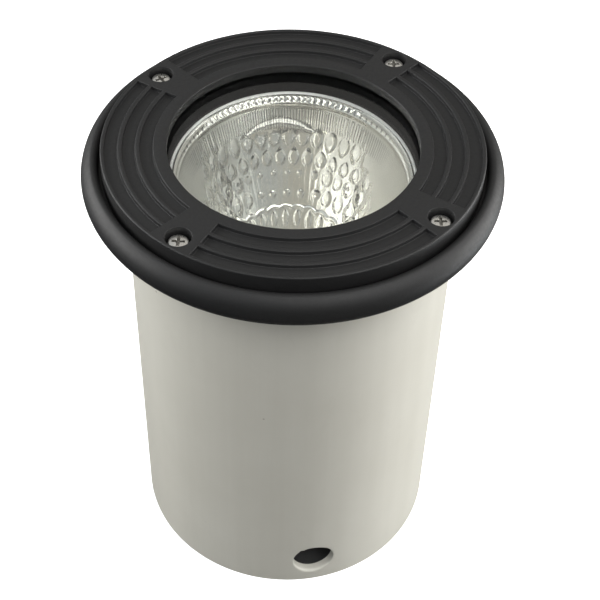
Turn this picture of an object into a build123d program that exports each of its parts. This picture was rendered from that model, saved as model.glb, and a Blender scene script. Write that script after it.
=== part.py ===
from build123d import *
import os
from math import sin, cos, tan, radians, sqrt, degrees, hypot

os.makedirs("parts", exist_ok=True)

# ---------------------------------------------------------------------------
# In-ground well light. Millimetres, +Z up, origin at the centre of the
# sleeve's bottom end. The cover screws stand on the 45 degree diagonals, and
# the cable hole in the sleeve faces very nearly -Y.
# ---------------------------------------------------------------------------

# burial sleeve
sleeve_r = 80.0
sleeve_wall = 4.7
hole_r = 11.0
hole_z = 18.7
hole_az = -86.6

# flange lip of the housing
flange_mid_z = 233.7
flange_r = 100.0
lip_r = 10.0
lip_angle = 56.6
crown_r = 2.4
flange_under_z = flange_mid_z - lip_r
# the sleeve's top end sits in a shallow rebate under the flange
rebate_r = 81.0
rebate_depth = 1.5
sleeve_h = flange_under_z + rebate_depth

# can
can_r = 72.5
can_wall = 3.0
can_bottom_z = 56.0
floor_t = 4.0
seat_z = 236.0
rib_count = 8

# cover ring
cover_top_z = 248.1
cover_r = 90.1
cover_open_r = 59.3
cover_lip_t = 4.5
glass_recess_r = 75.0
channel_depth = 2.0
channel_half_angle = 37.8
channel_radii = [(65.5, 71.8), (73.8, 80.0), (82.0, 88.3)]

# glass, gaskets
glass_r = 72.5
glass_z0, glass_z1 = 237.0, 242.6
gasket_r, gasket_in_r = 74.8, 69.8

# cover screws
screw_pcd_r = 82.4
pocket_r = 6.1
pocket_floor_z = 241.0
screw_head_r = 4.75
screw_head_h = 3.6
screw_shank_r = 2.45
screw_tip_z = 226.9
insert_r, insert_bore_r, insert_z0 = 3.5, 2.5, 226.0

# lamp head: pivot on the can's axis, resting tilt towards -Y
pivot_z = 204.06
lamp_tilt = 4.3
lamp_rim_r = 59.4
carrier_r = 62.0

# yoke
yoke_base_z = 72.0
yoke_t = 2.0
arm_x = 66.0
arm_w = 18.0

# gland and turning pivot
stem_r = 10.0
stem_bore_r = 6.5
stem_top_z = 81.0

ca, sa = cos(radians(lamp_tilt)), sin(radians(lamp_tilt))
lamp_dir = (0, -sa, ca)
lamp_axis = Axis((0, 0, pivot_z), lamp_dir)
# radius along +X, height along the lamp's axis, zero at the tilt pivot
lamp_section = Plane(origin=(0, 0, pivot_z), x_dir=(1, 0, 0), z_dir=(0, -ca, -sa))
# the lamp's own Y across, height along the lamp's axis
strap_section = Plane(origin=(0, 0, pivot_z), x_dir=(0, ca, sa), z_dir=(1, 0, 0))


def lamp_level(w):
    """Plane square to the lamp's axis, w above the tilt pivot."""
    return Plane(origin=(0, -sa * w, pivot_z + ca * w), x_dir=(1, 0, 0), z_dir=lamp_dir)


def band(path, t):
    """Corner points of a strip of thickness t that follows path."""
    left, right = [], []
    for i, (x, y) in enumerate(path):
        a = path[max(i - 1, 0)]
        b = path[min(i + 1, len(path) - 1)]
        if 0 < i < len(path) - 1:
            u = (x - a[0], y - a[1])
            v = (b[0] - x, b[1] - y)
            lu, lv = hypot(*u), hypot(*v)
            nu, nv = (-u[1] / lu, u[0] / lu), (-v[1] / lv, v[0] / lv)
            n = (nu[0] + nv[0], nu[1] + nv[1])
            k = (t / 2) / (n[0] * nu[0] + n[1] * nu[1])
            n = (n[0] * k, n[1] * k)
        else:
            d = (b[0] - a[0], b[1] - a[1])
            ld = hypot(*d)
            n = (-d[1] / ld * t / 2, d[0] / ld * t / 2)
        left.append((x + n[0], y + n[1]))
        right.append((x - n[0], y - n[1]))
    return left + right[::-1]


def bowl_out(w):
    return sqrt(40.7 * (w + 65.8))


def bowl_in(w):
    return sqrt(38.5 * (w + 62.0))


# ------------------------------------------------------------------ sleeve
# plain tube, open at both ends, with one cable hole near the bottom
hole_plane = Plane(
    origin=(0, 0, hole_z),
    x_dir=(0, 0, 1),
    z_dir=(cos(radians(hole_az)), sin(radians(hole_az)), 0),
)
with BuildPart() as sleeve:
    with BuildSketch(Plane.XY):
        Circle(sleeve_r)
        Circle(sleeve_r - sleeve_wall, mode=Mode.SUBTRACT)
    extrude(amount=sleeve_h)
    with BuildSketch(hole_plane.offset(sleeve_r - 15)):
        Circle(hole_r)
    extrude(amount=30, mode=Mode.SUBTRACT)
sleeve.part.label = "sleeve"

# ----------------------------------------------------------------- housing
# cast can with floor, centring ribs and the rounded flange lip
arc_a = radians(lip_angle)
lip_c = (flange_r - lip_r, flange_mid_z)
lip_mid = radians((lip_angle - 90) / 2)
lip_end = (lip_c[0] + lip_r * cos(arc_a), lip_c[1] + lip_r * sin(arc_a))
crown_c = (lip_end[0] - crown_r * cos(arc_a), lip_end[1] - crown_r * sin(arc_a))
crown_mid = radians((lip_angle + 180) / 2)
groove_out_r = crown_c[0] - crown_r
can_in_r = can_r - can_wall
with BuildPart() as housing:
    with BuildSketch(Plane.XZ):
        with BuildLine():
            Polyline(
                (stem_r + 0.05, can_bottom_z),
                (can_r - 4, can_bottom_z),
                (can_r, can_bottom_z + 4),
                (can_r, sleeve_h),
                (rebate_r, sleeve_h),
                (rebate_r, flange_under_z),
                (lip_c[0], flange_under_z),
            )
            ThreePointArc(
                (lip_c[0], flange_under_z),
                (lip_c[0] + lip_r * cos(lip_mid), lip_c[1] + lip_r * sin(lip_mid)),
                lip_end,
            )
            ThreePointArc(
                lip_end,
                (
                    crown_c[0] + crown_r * cos(crown_mid),
                    crown_c[1] + crown_r * sin(crown_mid),
                ),
                (groove_out_r, crown_c[1]),
            )
            Polyline(
                (groove_out_r, crown_c[1]),
                (groove_out_r, seat_z),
                (78.2, seat_z),
                (78.2, seat_z - 1.5),
                (76.0, seat_z - 1.5),
                (76.0, seat_z),
                (can_in_r + 0.6, seat_z),
                (can_in_r, seat_z - 0.6),
                (can_in_r, can_bottom_z + floor_t),
                (stem_r + 0.05, can_bottom_z + floor_t),
                (stem_r + 0.05, can_bottom_z),
            )
        make_face()
    revolve(axis=Axis.Z)
    # centring ribs down the can's outside
    with BuildSketch(Plane.XY.offset(78)):
        with PolarLocations(73.4, rib_count, start_angle=22.5):
            Rectangle(3.0, 3.0)
    extrude(amount=137)
    # blind holes for the inserts
    with BuildSketch(Plane.XY.offset(seat_z)):
        with PolarLocations(screw_pcd_r, 4, start_angle=45):
            Circle(insert_r)
    extrude(amount=-(seat_z - insert_z0), mode=Mode.SUBTRACT)
housing.part.label = "housing"

with BuildPart() as threaded_inserts:
    with BuildSketch(Plane.XY.offset(insert_z0)):
        with PolarLocations(screw_pcd_r, 4, start_angle=45):
            Circle(insert_r)
        with PolarLocations(screw_pcd_r, 4, start_angle=45):
            Circle(insert_bore_r, mode=Mode.SUBTRACT)
    extrude(amount=seat_z - insert_z0)
threaded_inserts.part.label = "threaded_inserts"

with BuildPart() as body_gasket:
    with BuildSketch(Plane.XY.offset(seat_z - 1.5)):
        Circle(78.1)
        Circle(76.1, mode=Mode.SUBTRACT)
    extrude(amount=1.5)
body_gasket.part.label = "body_gasket"

# -------------------------------------------------------------- cover ring
with BuildPart() as cover_ring:
    with BuildSketch(Plane.XZ):
        Polygon(
            (cover_open_r, cover_top_z),
            (cover_r, cover_top_z),
            (cover_r, seat_z),
            (glass_recess_r, seat_z),
            (glass_recess_r, cover_top_z - cover_lip_t),
            (cover_open_r, cover_top_z - cover_lip_t),
            align=None,
        )
    revolve(axis=Axis.Z)
    rims = cover_ring.edges().group_by(Axis.Z)[-1]
    fillet(rims.sort_by(SortBy.RADIUS)[-1], radius=0.8)
    fillet(
        cover_ring.edges().group_by(Axis.Z)[-1].sort_by(SortBy.RADIUS)[0], radius=0.5
    )
    # three recessed channels in each of the four sectors between the screws
    with BuildSketch(Plane.XY.offset(cover_top_z)):
        for r_in, r_out in reversed(channel_radii):
            Circle(r_out)
            Circle(r_in, mode=Mode.SUBTRACT)
        with PolarLocations(0, 4, start_angle=45):
            wedge = 45 - channel_half_angle
            Polygon(
                (0, 0),
                (120, -120 * tan(radians(wedge))),
                (120, 120 * tan(radians(wedge))),
                align=None,
                mode=Mode.SUBTRACT,
            )
    extrude(amount=-channel_depth, mode=Mode.SUBTRACT)
    # round pocket and clearance hole at each screw
    with BuildSketch(Plane.XY.offset(cover_top_z)):
        with PolarLocations(screw_pcd_r, 4, start_angle=45):
            Circle(pocket_r)
    extrude(amount=-(cover_top_z - pocket_floor_z), mode=Mode.SUBTRACT)
    with BuildSketch(Plane.XY.offset(cover_top_z)):
        with PolarLocations(screw_pcd_r, 4, start_angle=45):
            Circle(2.75)
    extrude(amount=-20, mode=Mode.SUBTRACT)
cover_ring.part.label = "cover_ring"

with BuildPart() as screw_seals:
    with BuildSketch(Plane.XY.offset(pocket_floor_z)):
        with PolarLocations(screw_pcd_r, 4, start_angle=45):
            Circle(5.0)
        with PolarLocations(screw_pcd_r, 4, start_angle=45):
            Circle(2.75, mode=Mode.SUBTRACT)
    extrude(amount=0.9)
screw_seals.part.label = "screw_seals"

# pan heads with a cross recess
head_z0 = pocket_floor_z + 0.9
with BuildPart() as cover_screws:
    with BuildSketch(Plane.XY.offset(screw_tip_z)):
        with PolarLocations(screw_pcd_r, 4, start_angle=45):
            Circle(screw_shank_r)
    extrude(amount=head_z0 - screw_tip_z)
    with BuildSketch(Plane.XY.offset(head_z0)):
        with PolarLocations(screw_pcd_r, 4, start_angle=45):
            Circle(screw_head_r)
    extrude(amount=screw_head_h)
    fillet(
        cover_screws.edges().filter_by(GeomType.CIRCLE).group_by(Axis.Z)[-1], radius=1.0
    )
    with BuildSketch(Plane.XY.offset(head_z0 + screw_head_h)):
        with PolarLocations(screw_pcd_r, 4, start_angle=45):
            Rectangle(5.4, 1.1)
            Rectangle(1.1, 5.4)
    extrude(amount=-1.7, mode=Mode.SUBTRACT)
cover_screws.part.label = "cover_screws"

# -------------------------------------------------------- glass and gasket
with BuildPart() as glass_lens:
    with BuildSketch(Plane.XY.offset(glass_z0)):
        Circle(glass_r)
    extrude(amount=glass_z1 - glass_z0)
    chamfer(glass_lens.edges().filter_by(GeomType.CIRCLE), length=0.5)
glass_lens.part.label = "glass_lens"

with BuildPart() as lens_gasket:
    with BuildSketch(Plane.XZ):
        Polygon(
            (gasket_in_r, seat_z),
            (gasket_r, seat_z),
            (gasket_r, cover_top_z - cover_lip_t),
            (gasket_in_r, cover_top_z - cover_lip_t),
            (gasket_in_r, glass_z1),
            (glass_r, glass_z1),
            (glass_r, glass_z0),
            (gasket_in_r, glass_z0),
            align=None,
        )
    revolve(axis=Axis.Z)
lens_gasket.part.label = "lens_gasket"

# ---------------------------------------------- cable gland, turning pivot
with BuildPart() as gland_body:
    with BuildSketch(Plane.XY.offset(44)):
        RegularPolygon(12.0, 6, major_radius=False)
    extrude(amount=10.5)
    with BuildSketch(Plane.XY.offset(54.5)):
        Circle(stem_r)
    extrude(amount=stem_top_z - 54.5)
    with BuildSketch(Plane.XY.offset(34)):
        Circle(9.5)
    extrude(amount=10)
    chamfer(gland_body.edges().group_by(Axis.Z)[-1], length=0.6)
    with BuildSketch(Plane.XY.offset(30)):
        Circle(stem_bore_r)
    extrude(amount=60, mode=Mode.SUBTRACT)
    with BuildSketch(Plane.XY.offset(30)):
        Circle(8.55)
    extrude(amount=10, mode=Mode.SUBTRACT)
gland_body.part.label = "gland_body"

with BuildPart() as gland_washer:
    with BuildSketch(Plane.XY.offset(54.5)):
        Circle(13.5)
        Circle(stem_r + 0.05, mode=Mode.SUBTRACT)
    extrude(amount=1.5)
gland_washer.part.label = "gland_washer"

with BuildPart() as gland_seal:
    with BuildSketch(Plane.XY.offset(32)):
        Circle(8.5)
        Circle(4.5, mode=Mode.SUBTRACT)
    extrude(amount=8)
gland_seal.part.label = "gland_seal"

with BuildPart() as gland_cap:
    with BuildSketch(Plane.XY.offset(33)):
        RegularPolygon(12.0, 6, major_radius=False)
    extrude(amount=10.9)
    with BuildSketch(Plane.XZ):
        with BuildLine():
            Polyline((0, 33), (11.8, 33))
            ThreePointArc((11.8, 33), (10.6, 30.1), (8.0, 28.6))
            Polyline((8.0, 28.6), (0, 28.6), (0, 33))
        make_face()
    revolve(axis=Axis.Z)
    with BuildSketch(Plane.XY.offset(25)):
        Circle(6.2)
    extrude(amount=30, mode=Mode.SUBTRACT)
    with BuildSketch(Plane.XY.offset(31.9)):
        Circle(8.6)
    extrude(amount=20, mode=Mode.SUBTRACT)
    with BuildSketch(Plane.XY.offset(33.9)):
        Circle(9.55)
    extrude(amount=20, mode=Mode.SUBTRACT)
gland_cap.part.label = "gland_cap"

with BuildPart() as turn_bush:
    with BuildSketch(Plane.XY.offset(can_bottom_z + floor_t)):
        Circle(14)
        Circle(stem_r + 0.05, mode=Mode.SUBTRACT)
    extrude(amount=yoke_base_z - can_bottom_z - floor_t)
turn_bush.part.label = "turn_bush"

with BuildPart() as turn_washer:
    with BuildSketch(Plane.XY.offset(yoke_base_z + yoke_t + 0.1)):
        Circle(15)
        Circle(stem_r + 0.05, mode=Mode.SUBTRACT)
    extrude(amount=1.3)
turn_washer.part.label = "turn_washer"

with BuildPart() as turn_locknut:
    with BuildSketch(Plane.XY.offset(yoke_base_z + yoke_t + 1.4)):
        RegularPolygon(13.5, 6, major_radius=False)
        Circle(stem_r, mode=Mode.SUBTRACT)
    extrude(amount=4.6)
turn_locknut.part.label = "turn_locknut"

# -------------------------------------------------------------------- yoke
yoke_top = yoke_base_z + yoke_t
with BuildPart() as yoke:
    with BuildSketch(Plane.XY.offset(yoke_base_z)):
        Rectangle(2 * arm_x + yoke_t, arm_w)
        Rectangle(104, 26)
    extrude(amount=yoke_t)
    with BuildSketch(Plane.XY.offset(yoke_base_z)):
        with Locations((-arm_x, 0), (arm_x, 0)):
            Rectangle(yoke_t, arm_w)
    extrude(amount=pivot_z - yoke_base_z)
    with BuildSketch(Plane.YZ.offset(-arm_x - yoke_t / 2)):
        with Locations((0, pivot_z)):
            Circle(arm_w / 2)
    extrude(amount=yoke_t)
    with BuildSketch(Plane.YZ.offset(arm_x - yoke_t / 2)):
        with Locations((0, pivot_z)):
            Circle(arm_w / 2)
    extrude(amount=yoke_t)
    # pivot holes for the tilt screws
    with BuildSketch(Plane.YZ.offset(-80)):
        with Locations((0, pivot_z)):
            Circle(2.56)
    extrude(amount=160, mode=Mode.SUBTRACT)
    # turning hole, and holes for the block's screws and the earth screw
    with BuildSketch(Plane.XY.offset(yoke_base_z)):
        Circle(stem_r + 0.08)
        with Locations((28.5, 0), (47.5, 0)):
            Circle(1.5)
        with Locations((-36, 0)):
            Circle(2.0)
    extrude(amount=yoke_t, mode=Mode.SUBTRACT)
yoke.part.label = "yoke"

with BuildPart() as terminal_block:
    with BuildSketch(Plane.XY.offset(yoke_top)):
        with Locations((38, 0)):
            RectangleRounded(24, 20, 2)
    extrude(amount=12)
    block_top = yoke_top + 12
    with BuildSketch(Plane.XY.offset(block_top)):
        with Locations((38, -4), (38, 4)):
            Circle(1.6)
    extrude(amount=-4, mode=Mode.SUBTRACT)
    with BuildSketch(Plane.XY.offset(block_top)):
        with Locations((32, -4), (32, 4), (44, -4), (44, 4)):
            Circle(1.9)
    extrude(amount=-3, mode=Mode.SUBTRACT)
    with BuildSketch(Plane.XY.offset(block_top)):
        with Locations((32, -4), (32, 4), (44, -4), (44, 4)):
            Circle(1.1)
    extrude(amount=-7, mode=Mode.SUBTRACT)
    with BuildSketch(Plane.XY.offset(block_top)):
        with Locations((28.5, 0), (47.5, 0)):
            Circle(1.5)
    extrude(amount=-12, mode=Mode.SUBTRACT)
    with BuildSketch(Plane.XY.offset(block_top)):
        with Locations((28.5, 0), (47.5, 0)):
            Circle(2.2)
    extrude(amount=-5, mode=Mode.SUBTRACT)
    # conductor holes facing the hollow stem
    with BuildSketch(Plane.YZ.offset(26)):
        with Locations((-7.0, yoke_top + 5), (7.0, yoke_top + 5)):
            Circle(1.6)
    extrude(amount=5, mode=Mode.SUBTRACT)
terminal_block.part.label = "terminal_block"

with BuildPart() as terminal_screws:
    with BuildSketch(Plane.XY.offset(block_top - 3)):
        with Locations((32, -4), (32, 4), (44, -4), (44, 4)):
            Circle(1.8)
    extrude(amount=2)
    with BuildSketch(Plane.XY.offset(block_top - 7)):
        with Locations((32, -4), (32, 4), (44, -4), (44, 4)):
            Circle(1.1)
    extrude(amount=4)
    with BuildSketch(Plane.XY.offset(block_top - 1)):
        with Locations((32, -4), (32, 4), (44, -4), (44, 4)):
            Rectangle(0.5, 4)
    extrude(amount=-0.8, mode=Mode.SUBTRACT)
terminal_screws.part.label = "terminal_screws"

with BuildPart() as block_screws:
    with BuildSketch(Plane.XY.offset(block_top - 5)):
        with Locations((28.5, 0), (47.5, 0)):
            Circle(2.1)
    extrude(amount=1.8)
    with BuildSketch(Plane.XY.offset(yoke_base_z - 3)):
        with Locations((28.5, 0), (47.5, 0)):
            Circle(1.5)
    extrude(amount=block_top - 5 - yoke_base_z + 3)
    with BuildSketch(Plane.XY.offset(block_top - 3.2)):
        with Locations((28.5, 0), (47.5, 0)):
            Rectangle(0.5, 5)
    extrude(amount=-0.8, mode=Mode.SUBTRACT)
block_screws.part.label = "block_screws"

with BuildPart() as ground_screw:
    with BuildSketch(Plane.XY.offset(yoke_top)):
        with Locations((-36, 0)):
            Circle(5.0)
    extrude(amount=1.0)
    with BuildSketch(Plane.XY.offset(yoke_top + 1.0)):
        with Locations((-36, 0)):
            RegularPolygon(4.0, 6, major_radius=False)
    extrude(amount=3.0)
    with BuildSketch(Plane.XY.offset(yoke_base_z - 5)):
        with Locations((-36, 0)):
            Circle(2.0)
    extrude(amount=yoke_t + 5)
ground_screw.part.label = "ground_screw"

# --------------------------------------------------------------- lamp head
# carrier ring under the lamp's rim
with BuildPart() as lamp_carrier:
    with BuildSketch(lamp_section):
        Polygon(
            (57.2, 11.6),
            (57.2, 13.1),
            (carrier_r - 0.8, 13.1),
            (carrier_r, 12.3),
            (carrier_r, -8.0),
            (carrier_r - 1.5, -8.0),
            (carrier_r - 1.5, 11.6),
            align=None,
        )
    revolve(axis=lamp_axis)
    with BuildSketch(Plane.YZ.offset(-80)):
        with Locations((0, pivot_z)):
            Circle(2.6)
    extrude(amount=160, mode=Mode.SUBTRACT)
    # screw holes for the strap frame, at the lamp's own +Y and -Y
    with BuildSketch(Plane(origin=(0, 0, pivot_z), x_dir=(1, 0, 0), z_dir=(0, ca, sa)).offset(-70)):
        with Locations((0, -3)):
            Circle(1.5)
    extrude(amount=140, mode=Mode.SUBTRACT)
lamp_carrier.part.label = "lamp_carrier"

with BuildPart() as tilt_screws:
    with BuildSketch(Plane.YZ.offset(56.5)):
        with Locations((0, pivot_z)):
            Circle(2.5)
    extrude(amount=67.1 - 56.5)
    with BuildSketch(Plane.YZ.offset(67.1)):
        with Locations((0, pivot_z)):
            Circle(4.5)
    extrude(amount=1.7)
    with BuildSketch(Plane.YZ.offset(-67.1)):
        with Locations((0, pivot_z)):
            Circle(2.5)
    extrude(amount=67.1 - 56.5)
    with BuildSketch(Plane.YZ.offset(-68.8)):
        with Locations((0, pivot_z)):
            Circle(4.5)
    extrude(amount=1.7)
    with BuildSketch(Plane.YZ.offset(68.8)):
        with Locations((0, pivot_z)):
            RegularPolygon(1.6, 6)
    extrude(amount=-1.2, mode=Mode.SUBTRACT)
    with BuildSketch(Plane.YZ.offset(-68.8)):
        with Locations((0, pivot_z)):
            RegularPolygon(1.6, 6)
    extrude(amount=1.2, mode=Mode.SUBTRACT)
tilt_screws.part.label = "tilt_screws"

with BuildPart() as tilt_washers:
    with BuildSketch(Plane.YZ.offset(carrier_r)):
        with Locations((0, pivot_z)):
            Circle(5.5)
            Circle(2.55, mode=Mode.SUBTRACT)
    extrude(amount=2.9)
    with BuildSketch(Plane.YZ.offset(-carrier_r - 2.9)):
        with Locations((0, pivot_z)):
            Circle(5.5)
            Circle(2.55, mode=Mode.SUBTRACT)
    extrude(amount=2.9)
tilt_washers.part.label = "tilt_washers"

with BuildPart() as tilt_nuts:
    with BuildSketch(Plane.YZ.offset(56.8)):
        with Locations((0, pivot_z)):
            RegularPolygon(4.0, 6, major_radius=False)
            Circle(2.5, mode=Mode.SUBTRACT)
    extrude(amount=3.4)
    with BuildSketch(Plane.YZ.offset(-60.2)):
        with Locations((0, pivot_z)):
            RegularPolygon(4.0, 6, major_radius=False)
            Circle(2.5, mode=Mode.SUBTRACT)
    extrude(amount=3.4)
tilt_nuts.part.label = "tilt_nuts"

# strap frame from the carrier down to the lampholder
strap_path = [(59.3, 6.0), (59.3, -14.0), (54.0, -34.0), (27.0, -80.0), (24.5, -112.0), (22.0, -119.75), (0.0, -119.75)]
with BuildPart() as holder_bracket:
    with BuildSketch(strap_section):
        Polygon(*band(strap_path + [(-v, w) for v, w in strap_path[-2::-1]], 1.5), align=None)
    extrude(amount=6, both=True)
    with BuildSketch(lamp_level(-120.5)):
        Circle(19.5)
    extrude(amount=1.5)
    with BuildSketch(lamp_level(-122)):
        Circle(5.5)
        with Locations((-12, 0), (12, 0)):
            Circle(1.7)
    extrude(amount=5, mode=Mode.SUBTRACT)
    with BuildSketch(Plane(origin=(0, 0, pivot_z), x_dir=(1, 0, 0), z_dir=(0, ca, sa)).offset(-70)):
        with Locations((0, -3)):
            Circle(1.5)
    extrude(amount=140, mode=Mode.SUBTRACT)
holder_bracket.part.label = "holder_bracket"

with BuildPart() as bracket_screws:
    for side in (-1, 1):
        with BuildSketch(Plane(origin=(0, 0, pivot_z), x_dir=(1, 0, 0), z_dir=(0, ca, sa)).offset(side * 55.5)):
            with Locations((0, -3)):
                Circle(1.5)
        extrude(amount=side * (carrier_r + 0.1 - 55.5))
        with BuildSketch(Plane(origin=(0, 0, pivot_z), x_dir=(1, 0, 0), z_dir=(0, ca, sa)).offset(side * (carrier_r + 0.05))):
            with Locations((0, -3)):
                Circle(2.8)
        extrude(amount=side * 1.6)
bracket_screws.part.label = "bracket_screws"

# porcelain lampholder, its brass shell and centre contact
lead_y = 7.4
lead_z = 108.0
with BuildPart() as lampholder:
    with BuildSketch(lamp_section):
        Polygon(
            (0, -119.0),
            (18.5, -119.0),
            (20.0, -117.5),
            (20.0, -86.0),
            (18.8, -84.0),
            (15.2, -84.0),
            (15.2, -114.0),
            (0, -114.0),
            align=None,
        )
    revolve(axis=lamp_axis)
    with BuildSketch(Plane.YZ.offset(17.2)):
        with Locations((lead_y - 4, lead_z), (lead_y + 4, lead_z)):
            Circle(1.6)
    extrude(amount=6, mode=Mode.SUBTRACT)
    with BuildSketch(lamp_level(-120)):
        with Locations((-12, 0), (12, 0)):
            Circle(1.6)
    extrude(amount=5, mode=Mode.SUBTRACT)
lampholder.part.label = "lampholder"

with BuildPart() as holder_screws:
    with BuildSketch(lamp_level(-122.3)):
        with Locations((-12, 0), (12, 0)):
            Circle(3.0)
    extrude(amount=1.8)
    with BuildSketch(lamp_level(-120.5)):
        with Locations((-12, 0), (12, 0)):
            Circle(1.6)
    extrude(amount=5.2)
holder_screws.part.label = "holder_screws"

# medium screw base: rounded ridges, 3.6 mm apart
pitch = 3.6
ridges = []
w = -82.0
for k in range(6):
    ridges += [(12.45, w - 0.3), (13.2, w - 1.4), (13.2, w - 2.0), (12.45, w - 3.1)]
    w -= pitch
with BuildPart() as lamp_base_shell:
    with BuildSketch(lamp_section):
        Polygon((12.45, -82.0), *ridges, (11.75, -104.0), (11.75, -82.0), align=None)
    revolve(axis=lamp_axis)
lamp_base_shell.part.label = "lamp_base_shell"

with BuildPart() as holder_shell:
    grown = [(r + 0.15, v) for r, v in ridges if v < -84.5]
    outer = [(r + 0.65, v) for r, v in grown]
    with BuildSketch(lamp_section):
        Polygon(*grown, *outer[::-1], align=None)
    revolve(axis=lamp_axis)
holder_shell.part.label = "holder_shell"

with BuildPart() as base_insulator:
    with BuildSketch(lamp_section):
        Polygon((0, -101.5), (11.7, -101.5), (11.7, -104.0), (6.0, -107.6), (0, -107.6), align=None)
    revolve(axis=lamp_axis)
base_insulator.part.label = "base_insulator"

with BuildPart() as base_contact:
    with BuildSketch(lamp_level(-109.2)):
        Circle(4.6)
    extrude(amount=1.6)
    fillet(base_contact.edges().sort_by(Axis.Z)[0], radius=0.7)
base_contact.part.label = "base_contact"

with BuildPart() as holder_contact:
    with BuildSketch(lamp_section):
        Polygon(*band([(10.0, -113.75), (4.0, -113.75), (2.5, -109.5), (-3.5, -109.5)], 0.5), align=None)
    extrude(amount=2.5, both=True)
holder_contact.part.label = "holder_contact"

# pressed-glass reflector lamp: bowl, front glass, capsule, skirt
with BuildPart() as lamp_reflector:
    with BuildSketch(lamp_section):
        with BuildLine():
            outer_pts = [(bowl_out(v), v) for v in (11.5, 0, -12, -24, -36, -46, -54, -58.5)]
            inner_pts = [(bowl_in(v), v) for v in (-59.9, -58, -54, -46, -36, -24, -12, 0, 10)]
            Polyline((lamp_rim_r, 18.2), (lamp_rim_r, 15.0), (58.6, 13.1), (57.0, 13.1), outer_pts[0])
            Spline(*outer_pts)
            Polyline(outer_pts[-1], (17.0, -60.0), (17.0, -72.0), (9.0, -72.0), inner_pts[0])
            Spline(*inner_pts)
            Polyline(inner_pts[-1], (54.4, 18.2), (lamp_rim_r, 18.2))
        make_face()
    revolve(axis=lamp_axis)
lamp_reflector.part.label = "lamp_reflector"

with BuildPart() as lamp_lens:
    with BuildSketch(lamp_section):
        with BuildLine():
            Polyline((lamp_rim_r, 18.2), (lamp_rim_r, 21.4), (58.6, 22.1))
            dome_r = (58.6**2 + 3.8**2) / (2 * 3.8)
            ThreePointArc((58.6, 22.1), (30.0, 25.9 - dome_r + sqrt(dome_r**2 - 900)), (0, 25.9))
            Polyline((0, 25.9), (0, 22.6), (20.0, 22.2), (38.0, 20.8), (54.4, 18.2), (lamp_rim_r, 18.2))
        make_face()
    revolve(axis=lamp_axis)
lamp_lens.part.label = "lamp_lens"

with BuildPart() as lamp_burner:
    with BuildSketch(lamp_level(-59.0)):
        Circle(5.5)
    extrude(amount=27)
    fillet(lamp_burner.edges().sort_by(Axis.Z)[-1], radius=4.5)
    with BuildSketch(lamp_level(-65.0)):
        Rectangle(8, 2.4)
    extrude(amount=7)
lamp_burner.part.label = "lamp_burner"

with BuildPart() as burner_posts:
    with BuildSketch(lamp_level(-100.0)):
        with Locations((-2.6, 0), (2.6, 0)):
            Circle(0.6)
    extrude(amount=35.0)
burner_posts.part.label = "burner_posts"

with BuildPart() as lamp_ferrule:
    with BuildSketch(lamp_section):
        Polygon(
            (17.05, -61.5),
            (18.0, -61.5),
            (18.0, -72.4),
            (13.6, -80.4),
            (13.6, -82.0),
            (11.75, -82.0),
            (11.75, -81.0),
            (12.6, -80.0),
            (17.05, -72.2),
            align=None,
        )
    revolve(axis=lamp_axis)
lamp_ferrule.part.label = "lamp_ferrule"

# two insulated leads from the block to the lampholder, with some slack
lead_r = 1.2
lead_paths = []
for side in (-1, 1):
    pts = [
        (38, side * 4, block_top - 3),
        (38, side * 4, 95),
        (33, lead_y + side * 4, lead_z),
        (17.6, lead_y + side * 4, lead_z),
    ]
    runs = [Vector(*b) - Vector(*a) for a, b in zip(pts, pts[1:])]
    radii = []
    for u, v in zip(runs, runs[1:]):
        turn = radians(u.get_angle(v))
        radii.append(0.45 * min(u.length, v.length) / tan(turn / 2))
    lead_paths.append((pts, radii))
    print("lead radii", [round(r, 1) for r in radii])
with BuildPart() as lamp_leads:
    for pts, radii in lead_paths:
        with BuildLine() as lead_line:
            FilletPolyline(*pts, radius=radii)
        with BuildSketch(Plane(origin=pts[0], z_dir=(0, 0, 1))):
            Circle(lead_r)
        sweep(path=lead_line.wires()[0])
lamp_leads.part.label = "lamp_leads"

# -------------------------------------------------------------------- write
export_step(sleeve.part, "parts/sleeve.step")
export_step(housing.part, "parts/housing.step")
export_step(threaded_inserts.part, "parts/threaded_inserts.step")
export_step(body_gasket.part, "parts/body_gasket.step")
export_step(cover_ring.part, "parts/cover_ring.step")
export_step(screw_seals.part, "parts/screw_seals.step")
export_step(cover_screws.part, "parts/cover_screws.step")
export_step(glass_lens.part, "parts/glass_lens.step")
export_step(lens_gasket.part, "parts/lens_gasket.step")
export_step(gland_body.part, "parts/gland_body.step")
export_step(gland_washer.part, "parts/gland_washer.step")
export_step(gland_seal.part, "parts/gland_seal.step")
export_step(gland_cap.part, "parts/gland_cap.step")
export_step(turn_bush.part, "parts/turn_bush.step")
export_step(turn_washer.part, "parts/turn_washer.step")
export_step(turn_locknut.part, "parts/turn_locknut.step")
export_step(yoke.part, "parts/yoke.step")
export_step(terminal_block.part, "parts/terminal_block.step")
export_step(terminal_screws.part, "parts/terminal_screws.step")
export_step(block_screws.part, "parts/block_screws.step")
export_step(ground_screw.part, "parts/ground_screw.step")
export_step(lamp_carrier.part, "parts/lamp_carrier.step")
export_step(tilt_screws.part, "parts/tilt_screws.step")
export_step(tilt_washers.part, "parts/tilt_washers.step")
export_step(tilt_nuts.part, "parts/tilt_nuts.step")
export_step(holder_bracket.part, "parts/holder_bracket.step")
export_step(bracket_screws.part, "parts/bracket_screws.step")
export_step(lampholder.part, "parts/lampholder.step")
export_step(holder_screws.part, "parts/holder_screws.step")
export_step(lamp_base_shell.part, "parts/lamp_base_shell.step")
export_step(holder_shell.part, "parts/holder_shell.step")
export_step(base_insulator.part, "parts/base_insulator.step")
export_step(base_contact.part, "parts/base_contact.step")
export_step(holder_contact.part, "parts/holder_contact.step")
export_step(lamp_reflector.part, "parts/lamp_reflector.step")
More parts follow.
